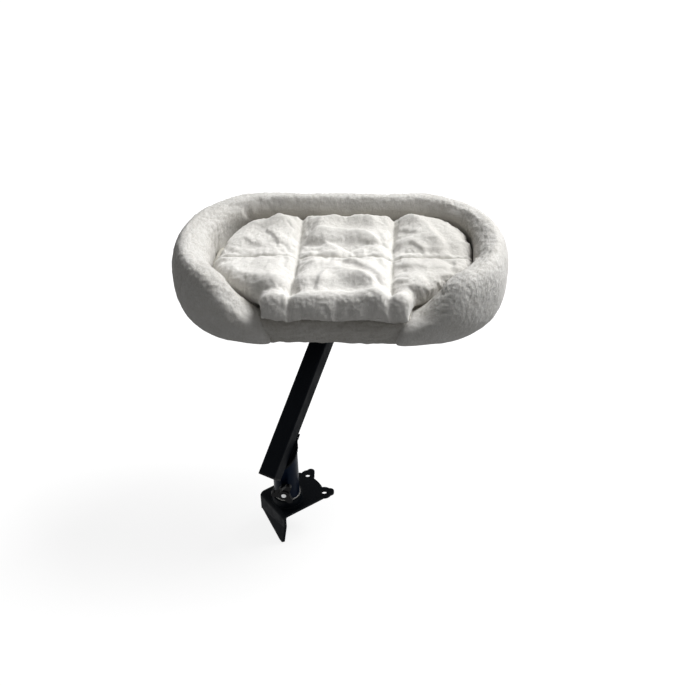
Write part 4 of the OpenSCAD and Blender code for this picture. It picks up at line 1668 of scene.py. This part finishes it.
@dataclass(frozen=True)
class Studio:
    """A pale floor, soft lamps and the photograph's camera."""

    floor_gap: float = 0.001
    floor_half: float = 6.0
    floor_colour: Colour = (0.25, 0.25, 0.25)
    floor_glow: float = 0.86
    sky: float = 0.155
    key_place: tuple[float, float, float] = (2.15, 1.6, 3.05)
    key_power: float = 218.0
    key_size: float = 2.0
    fill_place: tuple[float, float, float] = (1.5, -1.8, 0.9)
    fill_power: float = 1.4
    fill_size: float = 1.6
    view_place: tuple[float, float, float] = (0.217, -1.587, 1.603)
    view_turn: float = math.radians(4.2)
    view_pitch: float = math.radians(38.5)
    view_roll: float = math.radians(-1.8)
    view_reach: float = 50.0
    film: float = 36.0
    frame_pixels: int = 686
    lens_pixels: int = 1350

    def floor(self, low: float) -> Piece:
        """Lays the floor, which the camera sees as nearly white with the shadow kept.

        Args:
            low: The height of the object's lowest point.

        Returns:
            The floor.
        """
        shape = bmesh.new()
        bmesh.ops.create_grid(shape, x_segments=2, y_segments=2, size=self.floor_half)
        bmesh.ops.translate(shape, verts=shape.verts, vec=(0, 0, low - self.floor_gap))
        floor = from_bmesh("studio_floor", shape, smooth=False)
        made = bpy.data.materials.new("pale_floor")
        made.use_nodes = True
        s = Sketch(made.node_tree)
        s.fill(made.node_tree.nodes["Principled BSDF"], {
            "Base Color": (*self.floor_colour, 1),
            "Roughness": 0.9,
            "Specular IOR Level": 0.0,
            "Emission Color": (1, 1, 1, 1),
            "Emission Strength": s.part(s.seen(), self.floor_glow),
        })
        floor.data.materials.append(made)
        floor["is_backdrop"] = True
        return floor

    def world(self) -> None:
        """Sets the soft sky: white where it is seen, dimmer where it lights."""
        world = bpy.data.worlds.new("studio_sky")
        world.use_nodes = True
        bpy.context.scene.world = world
        s = Sketch(world.node_tree)
        strength = s.add("MapRange", {0: s.seen(), 1: 0.0, 2: 1.0, 3: self.sky, 4: 1.0})
        s.fill(world.node_tree.nodes["Background"], {
            "Color": (1, 1, 1, 1),
            "Strength": strength.outputs[0],
        })

    @staticmethod
    def lamp(
        name: str, place: tuple[float, float, float], aim: Vector, power: float, size: float
    ) -> None:
        """Hangs a square soft lamp.

        Args:
            name: The lamp's name.
            place: Where it hangs.
            aim: What it points at.
            power: Its power, in watts.
            size: Its side.
        """
        light = bpy.data.lights.new(name, "AREA")
        light.energy = power
        light.size = size
        obj = new_object(name, light)
        obj.location = place
        obj.rotation_euler = (aim - Vector(place)).to_track_quat("-Z", "Y").to_euler()

    def lamps(self, aim: Vector) -> None:
        """Hangs the key lamp high at the back right, and a weak fill at the front right."""
        self.lamp("key_lamp", self.key_place, aim, self.key_power, self.key_size)
        self.lamp("fill_lamp", self.fill_place, aim, self.fill_power, self.fill_size)

    def camera(self) -> None:
        """Places the camera where the photograph was taken from."""
        turn, pitch, roll = self.view_turn, self.view_pitch, self.view_roll
        level = Vector((math.cos(turn), math.sin(turn), 0))
        forward = Vector((-level.y, level.x, 0)) * math.cos(pitch)
        ahead = forward - Vector((0, 0, math.sin(pitch)))
        right = math.cos(roll) * level + math.sin(roll) * level.cross(ahead)
        data = bpy.data.cameras.new("photo_camera")
        data.sensor_fit = "HORIZONTAL"
        data.sensor_width = self.film
        data.lens = self.film * self.lens_pixels / self.frame_pixels
        data.clip_end = self.view_reach
        camera = new_object("photo_camera", data)
        turned = Matrix((right, right.cross(ahead), -ahead)).transposed().to_4x4()
        camera.matrix_world = Matrix.Translation(self.view_place) @ turned
        bpy.context.scene.camera = camera


# ------------------------------------------------------------------------ main


def attach(piece: Piece, body: str, slot: Slot, *replaced: str) -> None:
    """Lets a finished piece ride on its body and hides the CAD nodes it stands for.

    Args:
        piece: The piece.
        body: The CAD body it moves with.
        slot: The record's slot for its finish; not used.
        replaced: CAD nodes that it stands for.
    """
    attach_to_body(piece, body)
    if replaced:
        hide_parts(*replaced)
    LOG.info("%s rides on %s, %d faces", piece.name, body, len(piece.data.polygons))


def weld(nodes: dict[str, Piece], palette: Palette) -> None:
    """Dresses the hard nodes and lays the weld beads on them.

    Args:
        nodes: The CAD nodes by name.
        palette: The finishes.
    """
    ironwork = Ironwork()
    ironwork.dress(nodes, palette)
    for bead, body in (
        (ironwork.ring_weld(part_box("foot_ring")[0][2]), "base"),
        (ironwork.sleeve_weld(), "arm"),
        (ironwork.saddle_weld(Side.LEFT), "arm"),
        (ironwork.saddle_weld(Side.RIGHT), "arm"),
        (ironwork.head_weld(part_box("head_plate")[0][2]), "arm"),
    ):
        palette.dress(bead, Slot.POWDER_COAT)
        attach(bead, body, Slot.POWDER_COAT)


def upholster(nodes: dict[str, Piece], palette: Palette, plan: BedPlan) -> None:
    """Makes the bed's soft pieces in place of their CAD solids.

    Args:
        nodes: The CAD nodes by name.
        palette: The finishes.
        plan: The bed's plan.
    """
    wall = PlushWall(plan).build(nodes["padded_wall"], palette)
    attach(wall, "bed", Slot.WALL_PLUSH, "padded_wall")

    cushion = QuiltedCushion(plan).build(nodes["cushion"], palette)
    attach(cushion, "bed", Slot.CUSHION_PLUSH, "cushion")

    sill = PlushSill(plan).build(nodes["front_sill"], palette)
    attach(sill, "bed", Slot.WALL_PLUSH, "front_sill")

    deck = FoamDeck().build(nodes["foam_base"], palette)
    attach(deck, "bed", Slot.FOAM, "foam_base")

    low, high = (Vector(corner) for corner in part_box("under_cover"))
    size = high - low
    cloth = UnderCloth(plan, size.x, size.y, size.z, low.z).build(palette)
    attach(cloth, "bed", Slot.CLOTH, "under_cover")

    tapes = HookTapes().build(nodes["hook_strips"], palette)
    attach(tapes, "bed", Slot.PLASTIC, "hook_strips")


def main() -> None:
    """Builds the cat bed's looks in order."""
    logging.basicConfig(level=logging.INFO, format="%(message)s")
    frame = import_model()
    cad_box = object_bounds()
    bpy.context.scene.view_settings.view_transform = "Standard"
    studio = Studio()
    studio.camera()

    palette = Palette()
    low, high = (Vector(corner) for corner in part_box("padded_wall"))
    plan = BedPlan((low + high) / 2, high.x - low.x, high.y - low.y, low.z)
    weld(frame["nodes"], palette)
    upholster(frame["nodes"], palette, plan)

    studio.floor(cad_box[0][2])
    studio.world()
    studio.lamps(plan.centre)

    LOG.info("size written")


if __name__ == "__main__":
    main()
